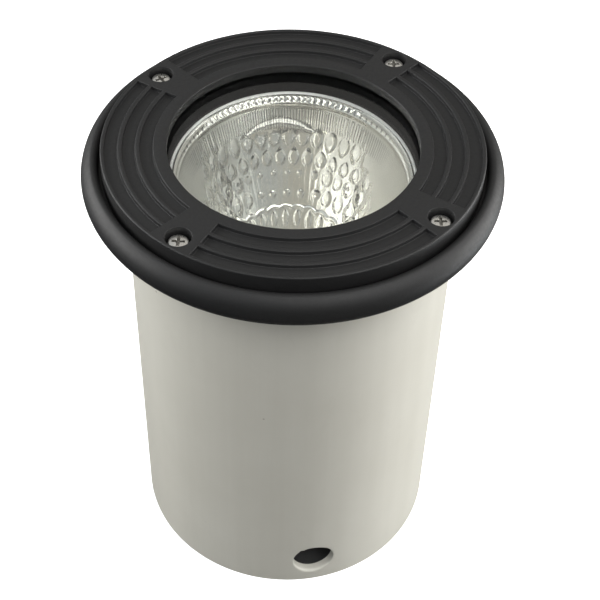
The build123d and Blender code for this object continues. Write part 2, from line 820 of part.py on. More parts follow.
export_step(lamp_lens.part, "parts/lamp_lens.step")
export_step(lamp_burner.part, "parts/lamp_burner.step")
export_step(burner_posts.part, "parts/burner_posts.step")
export_step(lamp_ferrule.part, "parts/lamp_ferrule.step")
export_step(lamp_leads.part, "parts/lamp_leads.step")
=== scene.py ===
import math
import random

import bmesh
import bpy
from mathutils import Matrix, Vector


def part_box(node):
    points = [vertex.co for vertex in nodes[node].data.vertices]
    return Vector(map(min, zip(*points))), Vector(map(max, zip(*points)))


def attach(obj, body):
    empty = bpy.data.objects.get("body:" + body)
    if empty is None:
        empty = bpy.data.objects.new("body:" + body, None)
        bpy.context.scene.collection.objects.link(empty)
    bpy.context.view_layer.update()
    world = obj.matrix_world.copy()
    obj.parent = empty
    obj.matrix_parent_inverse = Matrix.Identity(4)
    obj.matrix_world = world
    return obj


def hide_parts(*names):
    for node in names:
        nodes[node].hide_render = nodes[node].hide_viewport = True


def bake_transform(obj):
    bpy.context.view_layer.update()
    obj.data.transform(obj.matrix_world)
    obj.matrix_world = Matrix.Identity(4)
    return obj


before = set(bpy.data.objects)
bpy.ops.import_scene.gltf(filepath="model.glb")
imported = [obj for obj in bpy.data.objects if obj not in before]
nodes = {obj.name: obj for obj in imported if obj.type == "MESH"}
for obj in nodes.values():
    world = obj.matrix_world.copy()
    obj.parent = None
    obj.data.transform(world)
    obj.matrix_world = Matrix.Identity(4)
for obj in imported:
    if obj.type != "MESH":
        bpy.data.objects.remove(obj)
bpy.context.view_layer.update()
MM = 0.001
TAU = 2 * math.pi
HALF = math.sqrt(0.5)

# --------------------------------------------------------------------------
# real sizes, the same as the frame's (millimetres, degrees)
# --------------------------------------------------------------------------
SLEEVE_R, SLEEVE_IN, SLEEVE_H = 80.0, 75.3, 225.2
HOLE_R, HOLE_Z, HOLE_AZ = 11.0, 18.7, -86.6
FLANGE_Z, FLANGE_R, LIP_R, LIP_ANGLE, CROWN_R = 233.7, 100.0, 10.0, 56.6, 2.4
CAN_R, CAN_IN, CAN_Z, SEAT_Z = 72.5, 69.5, 56.0, 236.0
COVER_Z, COVER_R, COVER_OPEN, COVER_UNDER, RECESS_R = 248.1, 90.1, 59.3, 243.6, 75.0
CHANNELS = [(65.5, 71.8), (73.8, 80.0), (82.0, 88.3)]
CHANNEL_HALF, CHANNEL_DEPTH = 37.8, 2.0
SCREW_PCD, POCKET_R, POCKET_Z = 82.4, 6.1, 241.0
PIVOT_Z, TILT = 204.06, math.radians(4.3)
RIM_R = 59.4


# --------------------------------------------------------------------------
# mesh helpers
# --------------------------------------------------------------------------
class Shell:
    """Vertices in millimetres and faces, made into one mesh at the end."""

    def __init__(self):
        self.v, self.f = [], []

    def add(self, pts):
        start = len(self.v)
        self.v.extend(tuple(p) for p in pts)
        return list(range(start, start + len(pts)))

    def bridge(self, a, b):
        n = len(a)
        for k in range(n):
            m = (k + 1) % n
            self.f.append((a[k], a[m], b[m], b[k]))

    def strip(self, a, b):
        for k in range(len(a) - 1):
            self.f.append((a[k], a[k + 1], b[k + 1], b[k]))

    def cap(self, loop, centre):
        c = self.add([centre])[0]
        n = len(loop)
        for k in range(n):
            self.f.append((loop[k], loop[(k + 1) % n], c))

    def make(self, name, sharp=38.0, smooth=True):
        used = sorted({i for f in self.f for i in f})
        at = {old: new for new, old in enumerate(used)}
        mesh = bpy.data.meshes.new(name)
        mesh.from_pydata(
            [tuple(c * MM for c in self.v[i]) for i in used],
            [],
            [tuple(at[i] for i in f) for f in self.f],
        )
        bm = bmesh.new()
        bm.from_mesh(mesh)
        bmesh.ops.remove_doubles(bm, verts=bm.verts, dist=1e-7)
        bmesh.ops.recalc_face_normals(bm, faces=bm.faces)
        bm.to_mesh(mesh)
        bm.free()
        mesh.polygons.foreach_set("use_smooth", [smooth] * len(mesh.polygons))
        mesh.set_sharp_from_angle(angle=math.radians(sharp))
        obj = bpy.data.objects.new(name, mesh)
        bpy.context.scene.collection.objects.link(obj)
        return obj


def rounded(points, closed=True):
    """A section's corner points (r, z, radius, steps) as a polyline with real corner radii."""
    out = []
    n = len(points)
    for k, p in enumerate(points):
        r = p[2] if len(p) > 2 else 0.0
        steps = p[3] if len(p) > 3 else 4
        if r <= 0 or (not closed and k in (0, n - 1)):
            out.append((p[0], p[1]))
            continue
        a, c = Vector(points[k - 1][:2]), Vector(points[(k + 1) % n][:2])
        b = Vector(p[:2])
        u, v = (a - b).normalized(), (c - b).normalized()
        half = math.acos(max(-1, min(1, u.dot(v)))) / 2
        cut = r / math.tan(half)
        centre = b + (u + v).normalized() * (r / math.sin(half))
        s, e = b + u * cut - centre, b + v * cut - centre
        turn = math.atan2(s.x * e.y - s.y * e.x, s.dot(e))
        for q in range(steps + 1):
            t = turn * q / steps
            out.append(
                (
                    round(centre.x + s.x * math.cos(t) - s.y * math.sin(t), 4),
                    round(centre.y + s.x * math.sin(t) + s.y * math.cos(t), 4),
                )
            )
    return out


def spin_steps(step, extra=()):
    """Angles in degrees round a full turn, evenly spaced, with extra ones put in their place."""
    base = [k * step for k in range(round(360 / step))]
    keep = sorted({round(e % 360, 5) for e in extra})
    base = [b for b in base if all(abs((b - e + 180) % 360 - 180) > step * 0.28 for e in keep)]
    return sorted(base + keep)


def ring_grid(shell, section, angles, place=None):
    """A closed section turned through the angles. Returns the vertex rows, one for each section point."""
    place = place or (lambda i, r, z, a: (r, z))
    rows = []
    for i, (r, z) in enumerate(section):
        pts = []
        for a in angles:
            rr, zz = place(i, r, z, a)
            t = math.radians(a)
            pts.append((rr * math.cos(t), rr * math.sin(t), zz))
        rows.append(shell.add(pts))
    return rows


def fill_grid(shell, rows, windows=(), closed=True):
    """Faces between neighbouring rows, except in the windows (i0, i1, j0, j1)."""
    n, m = len(rows), len(rows[0])
    blocked = set()
    for i0, i1, j0, j1 in windows:
        for i in range(i0, i1):
            for j in range(j0, j1 if j1 > j0 else j1 + m):
                blocked.add((i % n, j % m))
    for i in range(n if closed else n - 1):
        a, b = rows[i], rows[(i + 1) % n]
        for j in range(m):
            if (i, j) not in blocked:
                k = (j + 1) % m
                shell.f.append((a[j], a[k], b[k], b[j]))


def window_loop(rows, window):
    """The vertices round a window, in order."""
    i0, i1, j0, j1 = window
    m = len(rows[0])
    js = [j % m for j in range(j0, (j1 if j1 > j0 else j1 + m) + 1)]
    n = len(rows)
    loop = [rows[i0 % n][j] for j in js]
    loop += [rows[i % n][js[-1]] for i in range(i0 + 1, i1 + 1)]
    loop += [rows[i1 % n][j] for j in reversed(js[:-1])]
    loop += [rows[i % n][js[0]] for i in range(i1 - 1, i0, -1)]
    return loop


def find_window(section, angles, i_lo, i_hi, a_mid, a_half):
    m = len(angles)
    near = lambda want: min(range(m), key=lambda j: abs((angles[j] - want + 180) % 360 - 180))
    return (i_lo, i_hi, near(a_mid - a_half), near(a_mid + a_half))


def blend_loops(shell, loop, target, steps, project=lambda p: p):
    """Loops between an outline and target points, eased so that the last one is the target's."""
    start = [Vector(shell.v[i]) for i in loop]
    last = loop
    for s in range(1, steps + 1):
        t = s / steps
        pts = [project(a.lerp(Vector(b), t)) for a, b in zip(start, target)]
        new = shell.add(pts)
        shell.bridge(last, new)
        last = new
    return last


def down(shell, loop, centre, angles_at, path):
    """Carries a round loop along (radius, z) steps about a vertical line."""
    for r, z in path:
        new = shell.add([(centre[0] + r * math.cos(t), centre[1] + r * math.sin(t), z) for t in angles_at])
        shell.bridge(loop, new)
        loop = new
    return loop


def lathe(name, section, step=2.0, sharp=38.0, place=None, extra=(), matrix=None, shell=None):
    s = shell or Shell()
    angles = spin_steps(step, extra)
    fill_grid(s, ring_grid(s, section, angles, place))
    obj = s.make(name, sharp)
    if matrix is not None:
        obj.data.transform(matrix)
    return obj


def arc(cx, cy, r, a0, a1, n):
    return [
        (cx + r * math.cos(math.radians(a0 + (a1 - a0) * k / n)), cy + r * math.sin(math.radians(a0 + (a1 - a0) * k / n)))
        for k in range(n + 1)
    ]


# --------------------------------------------------------------------------
# materials
# --------------------------------------------------------------------------
class Nodes:
    """A material with one Principled shader and short ways to feed it."""

    def __init__(self, name, **sockets):
        self.mat = bpy.data.materials.new(name)
        self.mat.use_nodes = True
        self.t = self.mat.node_tree
        self.bsdf = self.t.nodes["Principled BSDF"]
        for key, value in sockets.items():
            self.bsdf.inputs[key.replace("_", " ")].default_value = value
        self.coord = self.t.nodes.new("ShaderNodeTexCoord")

    def node(self, kind, **props):
        n = self.t.nodes.new(kind)
        for key, value in props.items():
            setattr(n, key, value)
        return n

    def link(self, a, b):
        self.t.links.new(a, b)

    def place(self, scale=(1, 1, 1), rotation=(0, 0, 0)):
        m = self.node("ShaderNodeMapping")
        m.inputs["Scale"].default_value = scale
        m.inputs["Rotation"].default_value = rotation
        self.link(self.coord.outputs["Object"], m.inputs["Vector"])
        return m.outputs["Vector"]

    def noise(self, scale, detail=3.0, rough=0.55, stretch=(1, 1, 1), distortion=0.0):
        n = self.node("ShaderNodeTexNoise")
        n.inputs["Scale"].default_value = scale
        n.inputs["Detail"].default_value = detail
        n.inputs["Roughness"].default_value = rough
        n.inputs["Distortion"].default_value = distortion
        self.link(self.place(stretch), n.inputs["Vector"])
        return n.outputs["Fac"]

    def cells(self, scale, feature="F1", stretch=(1, 1, 1), randomness=1.0):
        n = self.node("ShaderNodeTexVoronoi", feature=feature)
        n.inputs["Scale"].default_value = scale
        n.inputs["Randomness"].default_value = randomness
        self.link(self.place(stretch), n.inputs["Vector"])
        return n.outputs["Distance"]

    def ramp(self, fac, stops, interpolation="LINEAR"):
        r = self.node("ShaderNodeValToRGB")
        r.color_ramp.interpolation = interpolation
        e = r.color_ramp.elements
        while len(e) < len(stops):
            e.new(0.5)
        for el, (pos, col) in zip(e, stops):
            el.position = pos
            el.color = (*col, 1) if len(col) == 3 else col
        self.link(fac, r.inputs["Fac"])
        return r.outputs["Color"]

    def spread(self, fac, lo, hi, f0=0.0, f1=1.0):
        m = self.node("ShaderNodeMapRange")
        m.inputs["From Min"].default_value = f0
        m.inputs["From Max"].default_value = f1
        m.inputs["To Min"].default_value = lo
        m.inputs["To Max"].default_value = hi
        self.link(fac, m.inputs["Value"])
        return m.outputs["Result"]

    def mix(self, fac, a, b, blend="MIX"):
        m = self.node("ShaderNodeMix", data_type="RGBA", blend_type=blend)
        for socket, value in ((m.inputs[0], fac), (m.inputs[6], a), (m.inputs[7], b)):
            if isinstance(value, (int, float)):
                socket.default_value = value
            elif isinstance(value, tuple):
                socket.default_value = (*value, 1)
            else:
                self.link(value, socket)
        return m.outputs[2]

    def sum(self, a, b, operation="ADD"):
        m = self.node("ShaderNodeMath", operation=operation)
        for socket, value in ((m.inputs[0], a), (m.inputs[1], b)):
            if isinstance(value, (int, float)):
                socket.default_value = value
            else:
                self.link(value, socket)
        return m.outputs[0]

    def bump(self, height, strength, distance, after=None):
        b = self.node("ShaderNodeBump")
        b.inputs["Strength"].default_value = strength
        b.inputs["Distance"].default_value = distance
        self.link(height, b.inputs["Height"])
        if after is not None:
            self.link(after, b.inputs["Normal"])
        self.link(b.outputs["Normal"], self.bsdf.inputs["Normal"])
        return b.outputs["Normal"]

    def feed(self, socket, value):
        self.link(value, self.bsdf.inputs[socket])


def black_coat(name, base=0.036, rough=(0.50, 0.60), grain=0.35, level=0.5):
    """Powder-coated casting: near-black, satin, with a fine orange-peel grain."""
    m = Nodes(name, Specular_IOR_Level=level)
    patch = m.noise(18, 4, 0.6)
    fine = m.noise(1900, 2, 0.6)
    mid = m.noise(620, 2, 0.5)
    colour = m.ramp(patch, [(0.3, (base * 0.90, base * 0.90, base * 0.93)), (0.7, (base * 1.08, base * 1.07, base * 1.08))])
    speck = m.ramp(fine, [(0.45, (0.92, 0.92, 0.92)), (0.75, (1.16, 1.16, 1.15))])
    m.feed("Base Color", m.mix(1.0, colour, speck, "MULTIPLY"))
    m.feed("Roughness", m.spread(mid, *rough, 0.3, 0.7))
    first = m.bump(mid, grain * 0.5, 0.00012)
    m.bump(fine, grain, 0.00006, first)
    return m.mat


def pvc():
    """Extruded pale pipe: faint lengthwise streaks, small scuffs and a few dark specks."""
    m = Nodes("pvc_pipe", Specular_IOR_Level=0.45)
    m.bsdf.inputs["Subsurface Weight"].default_value = 0.0
    streak = m.noise(26, 5, 0.6, (3.0, 3.0, 0.10))
    cloud = m.noise(9, 4, 0.6)
    fine = m.noise(900, 2, 0.5, (1, 1, 0.35))
    base = m.ramp(cloud, [(0.3, (0.705, 0.685, 0.610)), (0.7, (0.765, 0.750, 0.675))])
    lines = m.ramp(streak, [(0.35, (0.965, 0.965, 0.96)), (0.65, (1.0, 1.0, 1.0))])
    base = m.mix(1.0, base, lines, "MULTIPLY")
    dots = m.cells(95, "F1")
    mask = m.noise(14, 2, 0.5)
    spot = m.spread(dots, 1.0, 0.0, 0.035, 0.075)
    where = m.spread(mask, 0.0, 1.0, 0.60, 0.66)
    both = m.sum(spot, where, "MULTIPLY")
    base = m.mix(both, base, (0.36, 0.33, 0.27))
    smudge = m.noise(38, 5, 0.7, (1, 1, 0.6), 0.8)
    worn = m.spread(smudge, 0.0, 0.10, 0.60, 0.78)
    base = m.mix(worn, base, (0.45, 0.42, 0.35))
    m.feed("Base Color", base)
    m.feed("Roughness", m.spread(streak, 0.34, 0.46, 0.3, 0.7))
    first = m.bump(streak, 0.10, 0.0004)
    m.bump(fine, 0.10, 0.00005, first)
    return m.mat


def metal(name, colour, rough, grain=900, stretch=(1, 1, 1), bump=0.08, tint=0.08, anisotropic=0.0, metallic=1.0):
    m = Nodes(name, Metallic=metallic)
    if anisotropic:
        m.bsdf.inputs["Anisotropic"].default_value = anisotropic
    big = m.noise(110, 4, 0.65)
    fine = m.noise(grain, 3, 0.6, stretch)
    lo = tuple(c * (1 - tint) for c in colour)
    hi = tuple(min(1, c * (1 + tint * 0.5)) for c in colour)
    m.feed("Base Color", m.ramp(big, [(0.3, lo), (0.7, hi)]))
    m.feed("Roughness", m.spread(fine, rough * 0.85, rough * 1.25, 0.3, 0.7))
    m.bump(fine, bump, 0.00004)
    return m.mat


def plain_glass(name, colour=(1, 1, 1), ior=1.5, rough=0.0):
    m = Nodes(name, Roughness=rough, IOR=ior)
    m.bsdf.inputs["Transmission Weight"].default_value = 1.0
    soft = m.noise(160, 2, 0.5)
    c0 = tuple(c * 0.985 for c in colour)
    m.feed("Base Color", m.ramp(soft, [(0.35, c0), (0.65, colour)]))
    return m.mat


def rubber(name, colour, rough=(0.45, 0.62), bump=0.15):
    m = Nodes(name, Specular_IOR_Level=0.4)
    a = m.noise(300, 3, 0.6)
    b = m.noise(2200, 2, 0.5)
    lo = tuple(c * 0.85 for c in colour)
    m.feed("Base Color", m.ramp(a, [(0.3, lo), (0.7, colour)]))
    m.feed("Roughness", m.spread(a, *rough, 0.3, 0.7))
    m.bump(b, bump, 0.00005)
    return m.mat


def ceramic(name, colour):
    m = Nodes(name, Specular_IOR_Level=0.55, Coat_Weight=0.6, Coat_Roughness=0.08)
    a = m.noise(60, 4, 0.6)
    b = m.noise(700, 3, 0.6)
    lo = tuple(c * 0.93 for c in colour)
    base = m.ramp(a, [(0.3, lo), (0.7, colour)])
    speck = m.ramp(m.cells(420), [(0.03, (0.55, 0.5, 0.42)), (0.06, (1, 1, 1))])
    m.feed("Base Color", m.mix(0.5, base, speck, "MULTIPLY"))
    m.feed("Roughness", m.spread(b, 0.22, 0.4, 0.3, 0.7))
    m.bump(a, 0.12, 0.0004)
    return m.mat


def mirror_coat():
    """Bright vapour-coated bowl, with painted shade: the base colour is darker in the grooves between its ribs."""
    m = Nodes("mirror_coat", Metallic=1.0)
    big = m.noise(110, 4, 0.65)
    base = m.ramp(big, [(0.3, (0.88, 0.87, 0.835)), (0.7, (0.91, 0.90, 0.87))])
    split = m.node("ShaderNodeSeparateXYZ")
    m.link(m.place(rotation=(-TILT, 0, 0)), split.inputs["Vector"])
    turn = m.sum(split.outputs["Y"], split.outputs["X"], "ARCTAN2")
    level = PIVOT_Z * MM * math.cos(TILT)
    # painted shade: darker stripes along the grooves of the fine ribbed band (288 round) and of the ring of raised
    # blocks (120 round)
    for count, dark, z0, z1, soft in ((288, 0.58, 3.4, 14.2, 1.2), (120, 0.40, 17.1, 18.7, 0.2)):
        wave = m.sum(m.sum(turn, float(count), "MULTIPLY"), 0.0, "SINE")
        groove = m.spread(wave, 0.0, 1.0, -0.2 if count > 200 else 0.2, 1.0)
        rise = m.spread(split.outputs["Z"], 0.0, 1.0, level + z0 * MM, level + (z0 + soft) * MM)
        fall = m.spread(split.outputs["Z"], 1.0, 0.0, level + (z1 - soft) * MM, level + z1 * MM)
        reach = m.spread(m.sum(split.outputs["Y"], 0.0, "ABSOLUTE"), 0.0, 1.0, 0.032, 0.042)
        where = m.sum(m.sum(m.sum(rise, fall, "MULTIPLY"), groove, "MULTIPLY"), reach, "MULTIPLY")
        base = m.mix(where, base, m.mix(1.0, base, (dark, dark, dark), "MULTIPLY"))
    m.feed("Base Color", base)
    fine = m.noise(300, 3, 0.6)
    # frosted towards the two sides
    side = m.sum(m.sum(split.outputs["X"], 0.0, "ABSOLUTE"), m.spread(m.noise(90, 3, 0.6), -0.004, 0.004, 0.3, 0.7))
    frost = m.spread(side, 0.0, 0.46, 0.036, 0.047)
    m.feed("Roughness", m.sum(m.spread(fine, 0.042, 0.062, 0.3, 0.7), frost))
    m.bump(fine, 0.006, 0.00004)
    return m.mat


MAT = {
    "pvc": pvc(),
    "cover": black_coat("cover_coat", 0.0135),
    # painted shade: a darker copy of the cover's coat for the bore wall
    "bore": black_coat("bore_painted_shade", 0.009, (0.50, 0.60)),
    "housing": black_coat("housing_coat", 0.0160, (0.48, 0.58), 0.5, 0.41),
    "carrier": black_coat("carrier_coat", 0.030, (0.55, 0.65)),
    "silicone": rubber("silicone_black", (0.020, 0.020, 0.021)),
    "nylon": rubber("black_nylon", (0.028, 0.028, 0.029), (0.38, 0.50)),
    "brass": metal("brass", (0.83, 0.62, 0.27), 0.30, 700),
    "zinc": metal("zinc_steel", (0.66, 0.66, 0.63), 0.38, 500, tint=0.14),
    "stainless": metal("stainless", (0.91, 0.895, 0.85), 0.28, 1500, bump=0.10),
    # painted shade: a darker metal for the faces inside the screws' cross recesses
    "recess_shade": metal("recess_painted_shade", (0.32, 0.31, 0.29), 0.5, 900),
    "earth": metal("green_earth", (0.12, 0.42, 0.15), 0.36, 700),
    "porcelain": ceramic("porcelain", (0.84, 0.82, 0.76)),
    "glass": plain_glass("clear_glass", (0.985, 1.0, 0.992), 1.5),
    "lamp_glass": plain_glass("lamp_glass", (0.985, 0.985, 0.965), 1.47),
    "mirror": mirror_coat(),
    "rim": metal("rim_satin", (0.93, 0.93, 0.90), 0.42, 900, bump=0.03, tint=0.03, metallic=0.35),
    "quartz": plain_glass("quartz", (0.97, 0.97, 0.97), 1.46),
    "black_glass": ceramic("black_glass", (0.02, 0.02, 0.021)),
    "cement": rubber("lamp_cement", (0.035, 0.034, 0.032), (0.6, 0.75), 0.3),
    "sleeving": rubber("lead_sleeving", (0.78, 0.76, 0.70), (0.6, 0.75), 0.3),
}


def finish_piece(obj, body, material, slot, *replaced):
    obj.data.materials.clear()
    obj.data.materials.append(MAT[material])
    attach(obj, body)
    if replaced:
        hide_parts(*replaced)
    return obj


# --------------------------------------------------------------------------
# cover ring: three recessed channels in each sector, four screw pockets
# --------------------------------------------------------------------------
# how the wall of a channel drops, by distance in from its edge
WALL = [(-0.34, 0.0), (-0.18, 0.03), (-0.06, 0.12), (0.02, 0.34), (0.10, 1.0), (0.18, 1.68), (0.27, 1.90), (0.40, 1.98), (0.56, 2.0)]


def wall_depth(d):
    if d <= WALL[0][0]:
        return 0.0
    if d >= WALL[-1][0]:
        return CHANNEL_DEPTH
    for (a, u), (b, v) in zip(WALL, WALL[1:]):
        if d <= b:
            return u + (v - u) * (d - a) / (b - a)
    return CHANNEL_DEPTH


# the narrow lands between the channels are slightly crowned
RIDGES = [(71.8, 73.8), (80.0, 82.0), (88.3, 90.1)]


def channel_depth(r, a):
    off = abs((a + 45) % 90 - 45)
    ends = math.radians(CHANNEL_HALF - off) * 77.0
    best = 0.0
    for lo, hi in RIDGES:
        if lo <= r <= hi:
            x = (2 * r - lo - hi) / (hi - lo)
            best = 0.24 * x * x * max(0.0, min(1.0, ends / 1.5))
    for lo, hi in CHANNELS:
        best = max(best, wall_depth(min(r - lo, hi - r, ends)))
    return best


def make_cover():
    s = Shell()
    tops = []
    for lo, hi in CHANNELS:
        tops += [lo + d for d, _ in WALL] + [hi - d for d, _ in WALL]
    p0, p1 = 75.45, 89.12
    tops += [62.5, 68.6, p0, 76.9, 84.0, 85.2, 86.4, p1, 72.8, 81.0, 72.5, 73.1, 80.7, 81.3]
    tops = sorted(tops)
    section = rounded(
        [(RECESS_R, COVER_UNDER, 0.25, 2), (COVER_OPEN, COVER_UNDER, 0.3, 2), (COVER_OPEN, COVER_Z, 0.55, 4), (COVER_R, COVER_Z, 0.75, 5), (COVER_R, SEAT_Z, 0.4, 3), (RECESS_R, SEAT_Z, 0.3, 2)]
    )
    # put the top's radii in between the two rounded edges
    k = max(i for i, (r, z) in enumerate(section) if abs(z - COVER_Z) < 1e-4 and r < 65)
    section = section[: k + 1] + [(r, COVER_Z) for r in tops] + section[k + 1 :]
    i_top0 = next(i for i, p in enumerate(section) if abs(p[0] - p0) < 1e-3 and abs(p[1] - COVER_Z) < 1e-3)
    i_top1 = next(i for i, p in enumerate(section) if abs(p[0] - p1) < 1e-3 and abs(p[1] - COVER_Z) < 1e-3)
    count = i_top1 - i_top0
    # the underside gets as many radii, going inwards
    b = max(i for i, (r, z) in enumerate(section) if abs(z - SEAT_Z) < 1e-3 and r > 80)
    under = [(89.0 - (89.0 - 76.0) * q / count, SEAT_Z) for q in range(count + 1)]
    section = section[: b + 1] + under + section[b + 1 :]
    i_bot0 = b + 1
    i_bot1 = b + 1 + count
    extra = []
    for c in (0, 90, 180, 270):
        for d, _ in WALL:
            da = CHANNEL_HALF - math.degrees(d / 77.0)
            extra += [c + da, c - da]
    half = 5.35
    for c in (45, 135, 225, 315):
        extra += [c - half, c + half, c]
    angles = spin_steps(1.0, extra)

    def place(i, r, z, a):
        if abs(z - COVER_Z) < 1e-3:
            z = COVER_Z - channel_depth(r, a)
        return r, z

    rows = ring_grid(s, section, angles, place)
    windows, lows = [], []
    for c in (45, 135, 225, 315):
        windows.append(find_window(section, angles, i_top0, i_top1, c, half))
        lows.append(find_window(section, angles, i_bot0, i_bot1, c, half))
    fill_grid(s, rows, windows + lows)
    for c, top, low in zip((45, 135, 225, 315), windows, lows):
        centre = (SCREW_PCD * math.cos(math.radians(c)), SCREW_PCD * math.sin(math.radians(c)))
        loop = window_loop(rows, top)
        ts = [math.atan2(s.v[i][1] - centre[1], s.v[i][0] - centre[0]) for i in loop]
        ring = [(centre[0] + (POCKET_R + 0.3) * math.cos(t), centre[1] + (POCKET_R + 0.3) * math.sin(t), COVER_Z) for t in ts]
        loop = blend_loops(s, loop, ring, 2)
        path = [(POCKET_R + 0.14, COVER_Z - 0.03), (POCKET_R + 0.04, COVER_Z - 0.12), (POCKET_R, COVER_Z - 0.32)]
        path += [(POCKET_R - 0.02, 245.0), (POCKET_R - 0.04, POCKET_Z + 0.45), (POCKET_R - 0.13, POCKET_Z + 0.13), (POCKET_R - 0.42, POCKET_Z)]
        path += [(4.2, POCKET_Z), (3.0, POCKET_Z), (2.78, POCKET_Z - 0.2), (2.75, 238.0), (2.78, SEAT_Z + 0.2), (3.0, SEAT_Z)]
        loop = down(s, loop, centre, ts, path)
        under_loop = window_loop(rows, low)
        tu = [math.atan2(s.v[i][1] - centre[1], s.v[i][0] - centre[0]) for i in under_loop]
        # both outlines have the same count: line them up by angle and join
        target = [(centre[0] + 4.6 * math.cos(t), centre[1] + 4.6 * math.sin(t), SEAT_Z) for t in tu]
        wide = blend_loops(s, under_loop, target, 2)
        n = len(wide)
        order = wide[::-1] if (ts[1] - ts[0]) * (tu[1] - tu[0]) < 0 else wide
        to = tu[::-1] if order is not wide else tu
        shift = min(range(n), key=lambda q: abs((to[q] - ts[0] + math.pi) % TAU - math.pi))
        order = order[shift:] + order[:shift]
        s.bridge(loop, order)
    return s.make("cover_ring_cast", 42)


cover = make_cover()
finish_piece(cover, "cover", "cover", "black_casting", "cover_ring")
# painted shade: the bore wall gets a darker copy of the black coat
cover.data.materials.append(MAT["bore"])
for poly in cover.data.polygons:
    c = poly.center
    if math.hypot(c.x, c.y) < (COVER_OPEN + 0.2) * MM and c.z < (COVER_Z - 0.6) * MM:
        poly.material_index = 1


# --------------------------------------------------------------------------
# pan-head screws with a pressed cross recess
# --------------------------------------------------------------------------
def make_screws():
    """Heads as a fine height field over a disc, so that the recess has sloping walls and rolled edges."""
    s = Shell()
    z0, top, R = POCKET_Z + 0.9, 3.6, 4.75

    def head(x, y):
        r = math.hypot(x, y)
        dome = top - 0.42 * (r / R) ** 2
        edge = R - r
        if edge < 0.62:
            k = max(0.0, edge) / 0.62
            dome = dome - 0.85 * (1 - math.sqrt(1 - (1 - k) ** 2))
        return dome

    def recess(x, y):
        depth = 0.0
        for u, v in ((x, y), (y, x)):
            reach = 2.95 - abs(u)
            w = 0.80 - 0.12 * abs(u) / 2.95 - abs(v)
            side = min(w / 0.18, reach / 0.40)
            depth = max(depth, 1.9 * max(0.0, min(1.0, side)) * (1 - 0.15 * abs(u) / 2.95))
        core = 1.0 - math.hypot(x, y) / 1.30
        return max(depth, 2.2 * max(0.0, min(1.0, core * 2.4)))

    turn = {45: -8.0, 135: 24.0, 225: -11.0, 315: -8.0}
    # a square grid mapped to a disc keeps rows along the cross
    ticks = []
    for x in [0, 0.2, 0.4, 0.52, 0.60, 0.66, 0.72, 0.78, 0.84, 0.95, 1.15, 1.35, 1.65, 1.95, 2.2, 2.4, 2.55, 2.7, 2.82, 2.96, 3.1]:
        ticks += [x, -x] if x else [0.0]
    ticks = sorted(ticks)
    n = len(ticks)
    for c in (45, 135, 225, 315):
        cx, cy = SCREW_PCD * math.cos(math.radians(c)), SCREW_PCD * math.sin(math.radians(c))
        rot = math.radians(turn[c])
        co, si = math.cos(rot), math.sin(rot)

        def put(x, y, z):
            return (cx + x * co - y * si, cy + x * si + y * co, z)

        idx = []
        for x in ticks:
            idx.append(s.add([put(x, y, z0 + head(x, y) - recess(x, y)) for y in ticks]))
        for i in range(n - 1):
            s.strip(idx[i], idx[i + 1])
        loop = [idx[0][j] for j in range(n)] + [idx[i][n - 1] for i in range(1, n)]
        loop += [idx[n - 1][j] for j in range(n - 2, -1, -1)] + [idx[i][0] for i in range(n - 2, 0, -1)]
        square = [(ticks[0], ticks[j]) for j in range(n)] + [(ticks[i], ticks[-1]) for i in range(1, n)]
        square += [(ticks[-1], ticks[j]) for j in range(n - 2, -1, -1)] + [(ticks[i], ticks[0]) for i in range(n - 2, 0, -1)]
        ts = [math.atan2(y, x) for x, y in square]
        last = loop
        # from the square out to the round edge
        for r_frac in (0.35, 0.7, 1.0):
            pts = []
            for (x, y), t in zip(square, ts):
                r = math.hypot(x, y)
                rr = r + (4.0 - r) * r_frac if r < 4.0 else r + (4.13 - r) * r_frac
                px, py = rr * math.cos(t), rr * math.sin(t)
                if r_frac == 1.0:
                    px, py = 4.13 * math.cos(t), 4.13 * math.sin(t)
                pts.append(put(px, py, z0 + head(px, py)))
            new = s.add(pts)
            s.bridge(last, new)
            last = new
        for rr in (4.25, 4.38, 4.50, 4.60, 4.68, 4.73, 4.75):
            new = s.add([put(rr * math.cos(t), rr * math.sin(t), z0 + head(rr * math.cos(t), rr * math.sin(t))) for t in ts])
            s.bridge(last, new)
            last = new
        shank = [(4.75, z0 + 1.2), (4.75, z0 + 0.25), (4.72, z0 + 0.06), (4.5, z0), (2.6, z0), (2.45, z0 - 0.2), (2.45, 236.0)]
        # rolled thread on the lower shank, inside the insert's bore
        z = 235.6
        while z > 228.2:
            shank += [(2.45, z), (2.45, z - 0.2), (2.12, z - 0.42), (2.12, z - 0.56), (2.45, z - 0.78)]
            z -= 0.8
        shank += [(2.3, 227.4), (1.9, 226.9)]
        for rr, zz in shank:
            new = s.add([put(rr * math.cos(t), rr * math.sin(t), zz) for t in ts])
            s.bridge(last, new)
            last = new
        s.cap(last, put(0, 0, 226.9))
    return s.make("cover_screws_pan", 30)


screws = make_screws()
finish_piece(screws, "cover", "stainless", "stainless", "cover_screws")
# painted shade in the pressed crosses: their faces get a darker metal
screws.data.materials.append(MAT["recess_shade"])
head_top = (POCKET_Z + 0.9 + 3.6) * MM
for poly in screws.data.polygons:
    c = poly.center
    near = min(math.hypot(c.x - SCREW_PCD * MM * u, c.y - SCREW_PCD * MM * v) for u in (-HALF, HALF) for v in (-HALF, HALF))
    if near < 3.0 * MM and head_top - 2.4 * MM < c.z < head_top - 0.62 * MM:
        poly.material_index = 1


